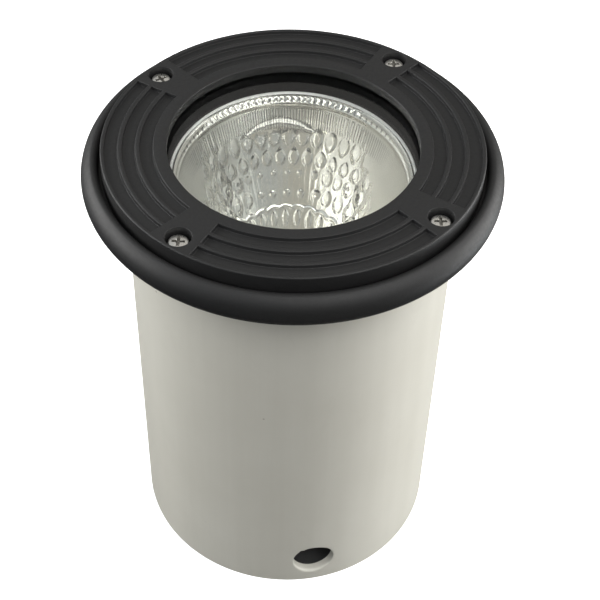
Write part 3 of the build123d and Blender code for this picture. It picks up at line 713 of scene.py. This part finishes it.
# --------------------------------------------------------------------------
# housing: can with centring ribs and the rounded flange lip
# --------------------------------------------------------------------------
def make_housing():
    s = Shell()
    arc_a = math.radians(LIP_ANGLE)
    cx = FLANGE_R - LIP_R
    end = (cx + LIP_R * math.cos(arc_a), FLANGE_Z + LIP_R * math.sin(arc_a))
    crown = (end[0] - CROWN_R * math.cos(arc_a), end[1] - CROWN_R * math.sin(arc_a))
    inner_r = crown[0] - CROWN_R
    under_z = FLANGE_Z - LIP_R
    ribs = [22.5 + 45 * k for k in range(8)]
    rib_d = [(-0.35, 0.0), (-0.1, 0.12), (0.05, 0.5), (0.25, 1.9), (0.45, 2.28), (0.8, 2.4)]

    def rib_height(z, a):
        off = abs((a - 22.5 + 22.5) % 45 - 22.5)
        d = min(1.5 - math.radians(off) * 73.4, (z - 78.0) * 0.5, (215.0 - z) * 0.5)
        if d <= rib_d[0][0]:
            return 0.0
        for (p, u), (q, v) in zip(rib_d, rib_d[1:]):
            if d <= q:
                return u + (v - u) * (d - p) / (q - p)
        return 2.4

    can_zs = []
    for z_end, sgn in ((78.0, 1), (215.0, -1)):
        can_zs += [z_end + sgn * d * 2 for d, _ in rib_d]
    can_zs += [66.0, 95, 115, 135, 155, 175, 195, 219.5]
    can_zs = sorted(can_zs)
    lower = [(10.05, CAN_Z + 4.0), (10.05, CAN_Z + 0.4), (10.45, CAN_Z), (30, CAN_Z), (55, CAN_Z)]
    corner = rounded([(55, CAN_Z), (CAN_R - 4, CAN_Z, 3.0, 4), (CAN_R, CAN_Z + 4, 3.0, 4), (CAN_R, 70)], closed=False)[1:-1]
    side = [(CAN_R, z) for z in can_zs]
    rebate_z = SLEEVE_H + 0.02
    root = rounded(
        [(CAN_R, 219.5), (CAN_R, rebate_z, 1.2, 4), (81.0, rebate_z, 0.3, 2), (81.0, under_z, 0.35, 3), (cx, under_z)], closed=False
    )[1:-1]
    under = [(85.0, under_z)]
    lip = arc(cx, FLANGE_Z, LIP_R, -90, LIP_ANGLE, 34)
    top = arc(crown[0], crown[1], CROWN_R, LIP_ANGLE, 180, 14)[1:]
    down_wall = [(inner_r, 238.6), (inner_r, SEAT_Z + 0.5), (inner_r - 0.15, SEAT_Z + 0.15), (inner_r - 0.5, SEAT_Z)]
    count = 8
    seat = [(91.0 - (91.0 - 78.6) * q / count, SEAT_Z) for q in range(count + 1)]
    groove = [(78.2, SEAT_Z), (78.2, SEAT_Z - 1.5), (76.0, SEAT_Z - 1.5), (76.0, SEAT_Z), (72.5, SEAT_Z), (CAN_IN + 0.6, SEAT_Z), (CAN_IN, SEAT_Z - 0.6)]
    inside = [(CAN_IN, z) for z in (225, 200, 170, 140, 110, 85, 66)]
    foot = rounded([(CAN_IN, 66), (CAN_IN, CAN_Z + 4.0, 2.5, 4), (30, CAN_Z + 4.0)], closed=False)[1:-1]
    floor_in = [(55, CAN_Z + 4), (30, CAN_Z + 4), (16, CAN_Z + 4)]
    section = lower + corner + side + root + under + lip[0:] + top + down_wall + seat + groove + inside + foot + floor_in
    i_seat0 = len(lower + corner + side + root + under + lip + top + down_wall)
    i_seat1 = i_seat0 + count
    extra = []
    for a in ribs:
        for d, _ in rib_d:
            w = math.degrees((1.5 - d) / 73.4)
            extra += [a + w, a - w]
    half = 4.2
    for c in (45, 135, 225, 315):
        extra += [c - half, c, c + half]
    angles = spin_steps(1.25, extra)

    def place(i, r, z, a):
        if abs(r - CAN_R) < 1e-3 and 70 < z < 219.6:
            r = CAN_R + rib_height(z, a)
        return r, z

    rows = ring_grid(s, section, angles, place)
    windows = [find_window(section, angles, i_seat0, i_seat1, c, half) for c in (45, 135, 225, 315)]
    fill_grid(s, rows, windows)
    for c, w in zip((45, 135, 225, 315), windows):
        centre = (SCREW_PCD * math.cos(math.radians(c)), SCREW_PCD * math.sin(math.radians(c)))
        loop = window_loop(rows, w)
        ts = [math.atan2(s.v[i][1] - centre[1], s.v[i][0] - centre[0]) for i in loop]
        ring = [(centre[0] + 3.7 * math.cos(t), centre[1] + 3.7 * math.sin(t), SEAT_Z) for t in ts]
        loop = blend_loops(s, loop, ring, 2)
        loop = down(s, loop, centre, ts, [(3.5, SEAT_Z - 0.2), (3.5, 231.0), (3.5, 226.0)])
        s.cap(loop, (centre[0], centre[1], 226.0))
    return s.make("housing_cast", 42)


housing = make_housing()
finish_piece(housing, "housing", "housing", "black_casting", "housing")


# --------------------------------------------------------------------------
# sleeve: cut pipe with a hand-drilled cable hole
# --------------------------------------------------------------------------
def make_sleeve():
    s = Shell()
    ax = math.radians(HOLE_AZ)
    out_dir = Vector((math.cos(ax), math.sin(ax), 0))
    side_dir = Vector((-math.sin(ax), math.cos(ax), 0))
    zs = [0.45, 1.8, 3.6, 5.5, 8.4, 11.2, 14.0, 18.7, 23.4, 26.2, 29.0, 31.9, 34.5]
    zs += [45, 60, 80, 100, 120, 140, 160, 180, 200, 212, 220, SLEEVE_H - 0.35]
    section = [(SLEEVE_R - 0.45, 0.0)] + [(SLEEVE_R, z) for z in zs] + [(SLEEVE_R - 0.35, SLEEVE_H)]
    top_in = [(SLEEVE_IN + 0.35, SLEEVE_H)]
    inner = [(SLEEVE_IN, z) for z in reversed(zs)]
    section = section + top_in + inner + [(SLEEVE_IN + 0.45, 0.0)]
    half = math.degrees(16.4 / 80.0)
    extra = [HOLE_AZ - half, HOLE_AZ + half, HOLE_AZ]
    angles = spin_steps(1.5, extra)

    def place(i, r, z, a):
        # the saw cut is not quite true
        if z < 0.6:
            z += 0.12 + 0.10 * math.sin(math.radians(a * 2 + 40)) + 0.02 * math.sin(math.radians(a * 31))
            z = max(0.0, z - 0.22)
        return r, z

    rows = ring_grid(s, section, angles, place)
    # window heights 1.8 .. 34.5
    w_out = find_window(section, angles, 2, 13, HOLE_AZ, half)
    in_first = len(section) - 1 - 13
    w_in = find_window(section, angles, in_first, in_first + 11, HOLE_AZ, half)
    fill_grid(s, rows, [w_out, w_in])
    rng = random.Random(7)
    waves = [(k, rng.uniform(0, TAU), amp) for k, amp in ((2, 0.16), (3, 0.12), (5, 0.07), (8, 0.04), (13, 0.025))]

    def hole_radius(t, wobble=1.0):
        r = HOLE_R + 0.02
        for k, ph, amp in waves:
            r += wobble * amp * math.sin(k * t + ph)
        # nick at the upper left of the edge
        d = (t - math.radians(128) + math.pi) % TAU - math.pi
        r += 0.55 * math.exp(-((d / 0.07) ** 2)) - 0.35 * math.exp(-(((d + 0.16) / 0.08) ** 2))
        return r

    def on_wall(u, v, radius):
        """Point of the wall at u across and v up from the hole's axis, where the wall has that radius."""
        p = side_dir * u + out_dir * math.sqrt(max(0.0, radius**2 - u**2))
        return (p.x, p.y, HOLE_Z + v)

    def local(i):
        p = Vector(s.v[i])
        return p.dot(side_dir), p.z - HOLE_Z

    def onto(radius):
        def project(p):
            q = Vector((p.x, p.y, 0)).normalized() * radius
            return (q.x, q.y, p.z)

        return project

    loop_o = window_loop(rows, w_out)
    # angle t runs from the right (+u) anticlockwise, seen from outside u is to the right
    to = [math.atan2(local(i)[1], local(i)[0]) for i in loop_o]
    ft = to

    def lip(t):
        """How broad the broken, pale edge is: widest below, thin above."""
        below = max(0.0, -math.sin(t + 0.25))
        return 0.35 + 1.15 * below**1.5 + 0.10 * math.sin(9 * t + 1.0) * below

    ring0 = [on_wall((hole_radius(t) + lip(t)) * math.cos(t), (hole_radius(t) + lip(t)) * math.sin(t), SLEEVE_R) for t in ft]
    last = blend_loops(s, loop_o, ring0, 4, onto(SLEEVE_R))
    # rounded-over edge, then the bore through the wall
    for frac, drop in ((0.70, 0.03), (0.40, 0.16), (0.16, 0.42), (0.0, 0.85)):
        pts = []
        for t in ft:
            r = hole_radius(t) + lip(t) * frac
            pts.append(on_wall(r * math.cos(t), r * math.sin(t), SLEEVE_R - drop * (0.5 + 0.6 * lip(t))))
        new = s.add(pts)
        s.bridge(last, new)
        last = new
    for depth in (1.9, 2.9, 3.9, 4.5):
        pts = []
        for t in ft:
            r = hole_radius(t, 1.0 - depth / 8)
            pts.append(on_wall(r * math.cos(t), r * math.sin(t), SLEEVE_R - depth))
        new = s.add(pts)
        s.bridge(last, new)
        last = new
    loop_i = window_loop(rows, w_in)
    ti = [math.atan2(local(i)[1], local(i)[0]) for i in loop_i]
    ring_i = [on_wall((hole_radius(t, 0.4) + 0.5) * math.cos(t), (hole_radius(t, 0.4) + 0.5) * math.sin(t), SLEEVE_IN) for t in ti]
    wide = blend_loops(s, loop_i, ring_i, 4, onto(SLEEVE_IN))
    n = len(wide)
    turn_o = sum(((b - a + math.pi) % TAU - math.pi) for a, b in zip(to, to[1:] + to[:1]))
    turn_i = sum(((b - a + math.pi) % TAU - math.pi) for a, b in zip(ti, ti[1:] + ti[:1]))
    if turn_o * turn_i < 0:
        wide, ti = wide[::-1], ti[::-1]
    shift = min(range(n), key=lambda q: abs((ti[q] - ft[0] + math.pi) % TAU - math.pi))
    wide = wide[shift:] + wide[:shift]
    s.bridge(last, wide)
    return s.make("sleeve_pipe", 42)


sleeve = make_sleeve()
finish_piece(sleeve, "sleeve", "pvc", "pvc", "sleeve")

# --------------------------------------------------------------------------
# lamp head frame: heights along the lamp's axis from the tilt pivot
# --------------------------------------------------------------------------
LAMP = Matrix.Translation((0, 0, PIVOT_Z * MM)) @ Matrix.Rotation(TILT, 4, "X")
DOME_R = (58.6**2 + 3.8**2) / (2 * 3.8)


def bowl_out(w):
    return math.sqrt(40.7 * (w + 65.8))


def bowl_in(w):
    return math.sqrt(38.5 * (w + 62.0))


# pressed pattern of the mirror, row by row: kind, height of its middle, how many go round, an angle of
# one of them, half its height, half its width in degrees, how far it stands in
ROWS = [
    ("drop", -0.8, 42, 93.4, 5.4, 3.75, 0.50),
    ("tent", -10.6, 41, 90.0, 4.2, 3.5, 0.45),
    ("dot", -18.2, 38, 95.2, 1.3, 1.7, 0.34),
    ("dot", -27.4, 33, 96.6, 1.7, 2.7, 0.42),
    ("tent", -38.6, 32, 98.4, 3.4, 3.6, 0.45),
    ("dot", -46.5, 24, 90.0, 2.4, 4.6, 0.40),
    ("dot", -52.5, 18, 90.0, 2.4, 6.0, 0.40),
]


def side_zone(a):
    """0 in the middle of the back and the front, 1 towards the sides."""
    off = abs((a % 180) - 90)
    x = max(0.0, min(1.0, (off - 20.0) / 12.0))
    return x * x * (3 - 2 * x)


def near_front(a):
    return 0.5 - 0.5 * math.sin(math.radians(a))


def facet_height(w, a):
    """How far the mirror stands in: rows of raised drops, tents and dots with steep edges."""
    h = 0.0
    side = side_zone(a)
    for kind, mid, count, start, tall, wide, high in ROWS:
        if kind == "dot" and mid > -40:
            tall, wide = tall + (4.0 - tall) * side, wide + (155.0 / count - wide) * side
        dv = (w - mid) / tall
        if abs(dv) >= 1.0:
            continue
        pitch = 360.0 / count
        off = (a - start + pitch / 2) % pitch - pitch / 2
        du = off / wide
        if kind == "drop":
            du /= 1.0 - 0.42 * max(0.0, -dv) ** 1.5
        elif kind == "tent":
            du /= 1.0 - 0.55 * max(0.0, dv) ** 1.2
        rho = du * du + dv * dv
        if rho < 1.0:
            h = max(h, high * (1 - rho * rho))
    # a low scalloped ledge, and a broad arch over the middle of the back
    edge = -34.6 + 0.9 * abs(math.cos(math.radians((a - 98.4) * 16)))
    if edge - 1.6 < w < edge + 0.5:
        x = (edge + 0.5 - w) / 2.1
        h = max(h, 0.5 * math.sin(math.pi * min(1.0, x * 2.2) / 2) * (1 - max(0.0, x - 0.5) * 2))
    off = abs(a - 91.0) / 24.0
    if off < 1:
        top = 9.6 - 8.0 * off**1.6
        reach = 2.9 * (1 - off * off) + 0.25
        x = (top - w) / reach
        if 0 < x < 3.2:
            rise = 0.52 * reach
            h = max(h, rise * (x if x < 1 else max(0.0, 1 - (x - 1) / 2.2)))
    x = max(0.0, min(1.0, (bowl_in(w) * abs(math.cos(math.radians(a))) - 38.0) / 7.0))
    return h * (1.0 - 0.55 * near_front(a)) * (1.0 - 0.85 * x * x * (3 - 2 * x))


def rib_band(w, a):
    h = 0.0
    if 3.4 < w < 14.2:
        off = abs((a % 180) - 90)
        edge = min(1.0, (w - 3.4) / 0.6, (14.2 - w) / 0.5) * max(0.0, min(1.0, (50.0 - off) / 12.0))
        h += edge * 0.07 * abs(math.sin(math.radians(a * 144)))
        # broad flutes beside the fine ribs
        flute = max(0.0, min(1.0, (off - 32.0) / 10.0, (66.0 - off) / 10.0))
        h += 0.20 * flute * min(1.0, (w - 3.4) / 2.5, (14.2 - w) / 1.5) * (0.5 - 0.5 * math.cos(math.radians(a * 100)))
    return h


def make_reflector():
    """Moulded bowl: the mirror is a paraboloid with pressed facets in rows and a finely ribbed band on top."""
    # the rim stands up round the edge of the front glass
    outer = [(57.5, 19.2), (57.9, 19.2), (58.0, 19.4), (58.0, 20.6), (58.1, 20.8), (59.2, 20.8), (RIM_R, 20.6), (RIM_R, 15.2)]
    outer += [(RIM_R - 0.25, 14.6), (58.6, 13.3), (58.2, 13.1), (57.0, 13.1)]
    outer += [(bowl_out(v), v) for v in (11.5, 8, 4, 0, -6, -12, -18, -24, -30, -36, -41, -46, -50, -54, -57, -58.5)]
    outer += [(17.0, -60.0), (17.0, -72.0), (9.0, -72.0)]
    s = Shell()
    # upper part, finely divided for the ribs
    flare = [(54.25, 14.5), (54.4, 14.7), (54.42, 14.9), (54.3, 15.1), (54.3, 15.3), (54.42, 16.2), (54.5, 16.9), (54.62, 17.12)]
    flare += [(54.8, 17.24), (55.3, 17.5), (56.0, 17.9), (56.7, 18.35), (57.0, 18.6), (57.2, 18.85), (57.35, 19.1)]
    band = [(bowl_in(v), v) for v in (2.4, 3.0, 3.4, 3.7, 4.0, 5.0, 6.0, 7.0, 8.0, 9.0, 10.0, 11.0, 12.0, 13.0, 13.7, 14.0, 14.2, 14.4)]
    angles = spin_steps(0.25)

    def place_top(i, r, z, a):
        if z < 14.45:
            return r - rib_band(z, a) - facet_height(z, a) * max(0.0, min(1.0, (14.2 - z) / 0.8)), z
        plain = ring_fade(a)
        if z < 19.05:
            r += (min(r, bowl_in(z)) - r) * plain
        if 17.15 < z < 18.7:
            edge = min(1.0, (z - 17.15) / 0.2, (18.7 - z) / 0.25) * (1.0 - plain)
            return r, z + edge * 0.42 * (abs(math.sin(math.radians(a * 60))) - 0.5)
        return r, z

    def ring_fade(a):
        off = abs((a % 180) - 90)
        x = max(0.0, min(1.0, (off - 36.0) / 12.0))
        return x * x * (3 - 2 * x)

    top = flare[::-1] + band[::-1]
    rows_top = ring_grid(s, top, angles, place_top)
    fill_grid(s, rows_top, closed=False)
    # facets below, on a coarser grid; both grids share the circle at their seam
    coarse = spin_steps(0.5)
    ws = []
    w = 2.4
    while w > -57:
        ws.append(w)
        w -= 0.42 if w > -42 else 0.9
    ws += [-58.0, -59.3, -59.9]

    def place_low(i, r, z, a):
        f = facet_height(z, a) * max(0.0, min(1.0, (z + 57) / 3))
        if z > -0.5:
            return r - f, z
        slope = 38.5 / (2 * max(r, 8.0)) * min(1.0, (-0.5 - z) / 3.0)
        n = math.hypot(1, slope)
        return r - f / n, z + f * slope / n

    low = [(bowl_in(v), v) for v in ws]
    rows_low = ring_grid(s, low, coarse, place_low)
    fill_grid(s, rows_low, closed=False)
    # seam: two fine steps to each coarse one
    fine_row, coarse_row = rows_top[-1], rows_low[0]
    m = len(coarse_row)
    for k in range(m):
        loop = [fine_row[(2 * k + q) % len(fine_row)] for q in range(3)]
        s.f.append((coarse_row[k], coarse_row[(k + 1) % m], loop[2], loop[1], loop[0]))
    rows_out = ring_grid(s, outer[::-1], coarse)
    fill_grid(s, rows_out, closed=False)
    # neck end and rim join the inside and the outside
    s.bridge(rows_low[-1], rows_out[0])
    fine_row, coarse_row = rows_top[0], rows_out[-1]
    for k in range(m):
        loop = [fine_row[(2 * k + q) % len(fine_row)] for q in range(3)]
        s.f.append((coarse_row[k], coarse_row[(k + 1) % m], loop[2], loop[1], loop[0]))
    obj = s.make("lamp_reflector_bowl", 48)
    obj.data.transform(LAMP)
    return obj


def make_lens():
    """Pressed front glass: plain domed outside and a plain inside."""
    s = Shell()
    rs = [0.0] + [0.9 * k for k in range(1, 60)] + [54.0, 54.9]
    rs = [r for r in rs if r <= 55.0]
    m = 360
    angles = [k * 360 / m for k in range(m)]

    def dome(r):
        return 25.9 - DOME_R + math.sqrt(DOME_R**2 - r * r)

    def under(r):
        pts = [(0, 22.6), (20, 22.3), (38, 21.4), (54.4, 19.5), (60, 19.35)]
        for (a, u), (b, v) in zip(pts, pts[1:]):
            if r <= b:
                return u + (v - u) * (r - a) / (b - a)
        return 19.35

    top = [s.add([(0, 0, dome(0))])]
    bottom = [s.add([(0, 0, under(0))])]
    for r in rs[1:]:
        top.append(s.add([(r * math.cos(math.radians(a)), r * math.sin(math.radians(a)), dome(r)) for a in angles]))
        bottom.append(
            s.add([(r * math.cos(math.radians(a)), r * math.sin(math.radians(a)), under(r)) for a in angles])
        )
    for surf in (top, bottom):
        for k in range(m):
            s.f.append((surf[0][0], surf[1][k], surf[1][(k + 1) % m]))
        for p, q in zip(surf[1:], surf[2:]):
            s.bridge(p, q)
    rim = [(56.4, dome(56.4)), (56.9, dome(56.9) - 0.12), (57.25, 21.5), (57.35, 21.0), (57.4, 20.3), (57.4, 19.6), (57.2, 19.38), (56.4, 19.35), (55.6, 19.4)]
    last = top[-1]
    for r, z in rim:
        new = s.add([(r * math.cos(math.radians(a)), r * math.sin(math.radians(a)), z) for a in angles])
        s.bridge(last, new)
        last = new
    s.bridge(last, bottom[-1])
    obj = s.make("lamp_lens_pressed", 60)
    obj.data.transform(LAMP)
    return obj


reflector = make_reflector()
finish_piece(reflector, "lamp_head", "mirror", "mirrored_glass", "lamp_reflector")
lens = make_lens()
finish_piece(lens, "lamp_head", "lamp_glass", "lamp_glass", "lamp_lens")
cement = lathe("lamp_cement", [(57.45, 19.45), (57.95, 19.45), (57.97, 20.6), (57.95, 20.85), (57.6, 20.85), (57.45, 20.7)], 2.0, matrix=LAMP)
finish_piece(cement, "lamp_head", "cement", "silicone")
band_section = [(58.02, 20.84), (57.98, 21.1), (58.02, 21.3), (58.15, 21.46), (58.9, 21.86), (59.15, 21.9), (59.3, 21.8), (59.38, 21.6), (59.38, 20.84)]
rim_band = lathe("lamp_rim_band", band_section, 1.0, matrix=LAMP)
finish_piece(rim_band, "lamp_head", "rim", "stainless")

# --------------------------------------------------------------------------
# carried-over pieces: finish by node
# --------------------------------------------------------------------------
FINISH = {
    "threaded_inserts": "brass", "body_gasket": "silicone", "screw_seals": "silicone", "lens_gasket": "silicone",
    "gland_washer": "silicone", "gland_seal": "silicone", "gland_body": "nylon", "gland_cap": "nylon",
    "turn_bush": "nylon", "turn_locknut": "nylon", "turn_washer": "zinc", "yoke": "zinc", "holder_bracket": "zinc",
    "lamp_carrier": "carrier", "terminal_block": "porcelain", "lampholder": "porcelain", "terminal_screws": "brass",
    "holder_shell": "brass", "holder_contact": "brass", "lamp_base_shell": "brass", "base_contact": "zinc",
    "block_screws": "zinc", "holder_screws": "zinc", "bracket_screws": "zinc", "tilt_screws": "stainless",
    "tilt_nuts": "zinc", "tilt_washers": "zinc", "ground_screw": "earth", "glass_lens": "glass",
    "lamp_burner": "quartz", "burner_posts": "stainless", "lamp_ferrule": "stainless",
    "base_insulator": "black_glass",
}
for name, finish in FINISH.items():
    mesh = nodes[name].data
    mesh.materials.clear()
    mesh.materials.append(MAT[finish])

# --------------------------------------------------------------------------
# the two insulated leads
# --------------------------------------------------------------------------
def lead_line(route):
    """Smooth line through the route, read from a curve with no thickness."""
    data = bpy.data.curves.new("lead_route", "CURVE")
    data.dimensions = "3D"
    data.resolution_u = 24
    spline = data.splines.new("NURBS")
    spline.points.add(len(route) - 1)
    for point, co in zip(spline.points, route):
        point.co = (co[0] * MM, co[1] * MM, co[2] * MM, 1.0)
    spline.order_u = 3
    spline.use_endpoint_u = True
    obj = bpy.data.objects.new("lead_route", data)
    scene_root.objects.link(obj)
    mesh = bpy.data.meshes.new_from_object(obj.evaluated_get(bpy.context.evaluated_depsgraph_get()))
    line = [v.co.copy() for v in mesh.vertices]
    bpy.data.objects.remove(obj)
    bpy.data.curves.remove(data)
    bpy.data.meshes.remove(mesh)
    return line


def make_leads():
    s = Shell()
    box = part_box("lamp_leads")
    low = box[0][2] / MM
    for side in (-1, 1):
        route = [(38, side * 4, low), (38, side * 4, 95), (33, 7.4 + side * 4, 108.0), (17.6, 7.4 + side * 4, 108.0)]
        line = [co / MM for co in lead_line(route)]
        frame_x = Vector((0, 1, 0))
        rows = []
        along = 0.0
        for k, co in enumerate(line):
            a, b = line[max(0, k - 1)], line[min(len(line) - 1, k + 1)]
            tangent = (b - a).normalized()
            frame_x = (frame_x - tangent * frame_x.dot(tangent)).normalized()
            frame_y = tangent.cross(frame_x)
            if k:
                along += (co - line[k - 1]).length
            ring = []
            for q in range(24):
                phi = TAU * q / 24
                r = 1.17 + 0.03 * math.cos(6 * phi + along * 2.2) * math.cos(6 * phi - along * 2.2)
                ring.append(co + frame_x * (r * math.cos(phi)) + frame_y * (r * math.sin(phi)))
            rows.append(s.add(ring))
        for a, b in zip(rows, rows[1:]):
            s.bridge(a, b)
        s.cap(rows[0], line[0])
        s.cap(rows[-1], line[-1])
    return s.make("lamp_leads_sleeved", 60)


scene_root = bpy.context.scene.collection
leads = make_leads()
leads.data.materials.append(MAT["sleeving"])
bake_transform(leads)

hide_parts("lamp_leads")

# --------------------------------------------------------------------------
# studio: pale floor, soft boxes, camera
# --------------------------------------------------------------------------
scene = bpy.context.scene
scene.view_settings.view_transform = "Standard"
scene.view_settings.look = "None"
scene.view_settings.exposure = 0.0
scene.view_settings.gamma = 1.0
scene.cycles.max_bounces = 24
scene.cycles.transmission_bounces = 24
scene.cycles.glossy_bounces = 16
scene.cycles.diffuse_bounces = 4
scene.cycles.caustics_reflective = True
scene.cycles.caustics_refractive = True
scene.cycles.blur_glossy = 0.2
scene.cycles.sample_clamp_indirect = 6.0
scene.cycles.use_denoising = True

world = bpy.data.worlds.new("studio")
scene.world = world
world.use_nodes = True
wt = world.node_tree
w_coord = wt.nodes.new("ShaderNodeTexCoord")
w_split = wt.nodes.new("ShaderNodeSeparateXYZ")
w_ramp = wt.nodes.new("ShaderNodeValToRGB")
w_half = wt.nodes.new("ShaderNodeMapRange")
w_half.inputs["From Min"].default_value = -1.0
wt.links.new(w_coord.outputs["Generated"], w_split.inputs["Vector"])
wt.links.new(w_split.outputs["Z"], w_half.inputs["Value"])
wt.links.new(w_half.outputs["Result"], w_ramp.inputs["Fac"])
stops = [(0.0, (0.04, 0.04, 0.04)), (0.50, (0.05, 0.05, 0.05)), (0.60, (0.14, 0.14, 0.14)), (0.70, (0.36, 0.36, 0.36)), (1.0, (0.40, 0.395, 0.385))]
for el in range(len(stops) - 2):
    w_ramp.color_ramp.elements.new(0.5)
for el, (pos, col) in zip(w_ramp.color_ramp.elements, stops):
    el.position = pos
    el.color = (*col, 1)
w_path = wt.nodes.new("ShaderNodeLightPath")
w_white = wt.nodes.new("ShaderNodeBackground")
w_white.inputs["Color"].default_value = (1, 1, 1, 1)
w_mix = wt.nodes.new("ShaderNodeMixShader")
w_back = wt.nodes["Background"]
w_side = wt.nodes.new("ShaderNodeMapRange")
w_side.interpolation_type = "SMOOTHSTEP"
for key, value in (("From Min", -0.75), ("From Max", 0.35), ("To Min", 0.80), ("To Max", 1.2)):
    w_side.inputs[key].default_value = value
wt.links.new(w_split.outputs["Y"], w_side.inputs["Value"])
wt.links.new(w_side.outputs["Result"], w_back.inputs["Strength"])
w_tint = wt.nodes.new("ShaderNodeMapRange")
w_tint.inputs["From Min"].default_value = -0.45
w_tint.inputs["From Max"].default_value = 0.10
w_cool = wt.nodes.new("ShaderNodeMix")
w_cool.data_type, w_cool.blend_type = "RGBA", "MULTIPLY"
w_cool.inputs[0].default_value = 1.0
w_hue = wt.nodes.new("ShaderNodeMix")
w_hue.data_type = "RGBA"
w_hue.inputs[6].default_value = (0.97, 1.03, 1.10, 1)
w_hue.inputs[7].default_value = (1.02, 1.0, 0.955, 1)
wt.links.new(w_split.outputs["X"], w_tint.inputs["Value"])
wt.links.new(w_tint.outputs["Result"], w_hue.inputs[0])
wt.links.new(w_ramp.outputs["Color"], w_cool.inputs[6])
wt.links.new(w_hue.outputs[2], w_cool.inputs[7])
wt.links.new(w_cool.outputs[2], w_back.inputs["Color"])
wt.links.new(w_path.outputs["Is Camera Ray"], w_mix.inputs["Fac"])
wt.links.new(w_back.outputs["Background"], w_mix.inputs[1])
wt.links.new(w_white.outputs["Background"], w_mix.inputs[2])
wt.links.new(w_mix.outputs["Shader"], wt.nodes["World Output"].inputs["Surface"])


def soft_box(name, at, to, size, radiance, colour=(1, 1, 1)):
    light = bpy.data.lights.new(name, "AREA")
    light.shape = "RECTANGLE"
    light.size, light.size_y = size
    light.energy = radiance * math.pi * size[0] * size[1]
    light.color = colour
    obj = bpy.data.objects.new(name, light)
    scene.collection.objects.link(obj)
    at, to = Vector(at), Vector(to)
    obj.matrix_world = Matrix.Translation(at) @ (to - at).to_track_quat("-Z", "Y").to_matrix().to_4x4()
    obj.visible_camera = False
    return obj


soft_box("key_right", (0.80, 0.04, 0.27), (0, 0, 0.16), (0.60, 0.36), 6.8, (1.0, 0.992, 0.975))
soft_box("key_low", (0.78, -0.06, -0.10), (0, 0, 0.16), (0.60, 0.26), 4.3, (0.96, 0.985, 1.0))
soft_box("fill_left", (-0.80, 0.22, 0.44), (0, 0, 0.12), (0.90, 0.52), 5.2, (1.0, 0.995, 0.975))
soft_box("low_front", (-0.03, -0.26, 0.015), (0, 0, 0.02), (0.30, 0.05), 0.8, (1.0, 0.99, 0.96))
soft_box("front_right", (0.50, -0.66, 0.95), (0, 0, 0.22), (0.92, 0.68), 1.6, (0.99, 0.995, 1.0))
soft_box("right_wide", (0.81, -0.38, 1.00), (0, 0, 0.22), (1.50, 0.95), 0.86, (0.99, 0.995, 1.0))
soft_box("front_top", (0.0, -0.58, 1.14), (0, 0, 0.22), (0.60, 0.42), 2.8, (1.0, 0.995, 0.98))
soft_box("front_strip", (-0.02, -0.97, 0.76), (0, 0, 0.22), (0.50, 0.14), 1.2, (1.0, 0.995, 0.98))
soft_box("back_left", (-0.73, 0.61, 0.77), (0, 0, 0.22), (0.35, 0.25), 2.6, (1.0, 0.99, 0.96))
soft_box("left_wide", (-0.62, -0.60, 1.02), (0, 0, 0.22), (1.00, 0.75), 0.46, (0.97, 1.0, 1.02))
soft_box("glint", (0.78, 0.195, 0.97), (0, 0, 0.22), (0.15, 0.15), 4.0, (1.0, 1.0, 1.0))


def disc(name, r0, r1, z):
    s = Shell()
    angles = spin_steps(5)
    rows = ring_grid(s, [(r0, z), (r1, z)] if r0 else [(r1 * 0.5, z), (r1, z)], angles)
    fill_grid(s, rows, closed=False)
    if not r0:
        s.cap(rows[0], (0, 0, z))
    obj = s.make(name)
    if obj.data.polygons[0].normal.z < 0:
        obj.data.flip_normals()
    return obj


floor = disc("floor", 77.5, 9000, 0.0)
fm = Nodes("floor_paper", Roughness=0.9, Specular_IOR_Level=0.1)
fm.feed("Base Color", fm.ramp(fm.noise(3, 3), [(0.3, (0.88, 0.88, 0.88)), (0.7, (0.90, 0.90, 0.90))]))
fm.bsdf.inputs["Emission Color"].default_value = (1, 1, 1, 1)
fm.bsdf.inputs["Emission Strength"].default_value = 0.8
floor.data.materials.append(fm.mat)
floor.visible_diffuse = False
floor.visible_glossy = False
floor.visible_transmission = False
floor.visible_shadow = False
inside = disc("floor_inside", 0, 77.5, 0.0)
im = Nodes("floor_shade", Roughness=0.9, Specular_IOR_Level=0.1)
im.feed("Base Color", im.ramp(im.noise(30, 3), [(0.3, (0.10, 0.10, 0.10)), (0.7, (0.13, 0.13, 0.13))]))
inside.data.materials.append(im.mat)

# camera at the photograph's place, in the object's own frame
swing = Matrix.Rotation(math.radians(-8.354), 3, "Z")
right = swing @ Vector((0.99968229, 0.0123656, 0.02196406))
up = -(swing @ Vector((0.02413982, -0.72041615, -0.6931218)))
back = -(swing @ Vector((0.0072524, 0.6934318, -0.72048577)))
spot = swing @ Vector((0.0, -0.500529, 0.427958)) + Vector((0, 0, FLANGE_Z * MM))
cam_data = bpy.data.cameras.new("camera")
cam_data.sensor_width = 36.0
cam_data.lens = 82.92
cam_data.clip_start = 0.01
cam = bpy.data.objects.new("camera", cam_data)
scene.collection.objects.link(cam)
cam.matrix_world = Matrix(
    (
        (right.x, up.x, back.x, spot.x),
        (right.y, up.y, back.y, spot.y),
        (right.z, up.z, back.z, spot.z),
        (0, 0, 0, 1),
    )
)
scene.camera = cam
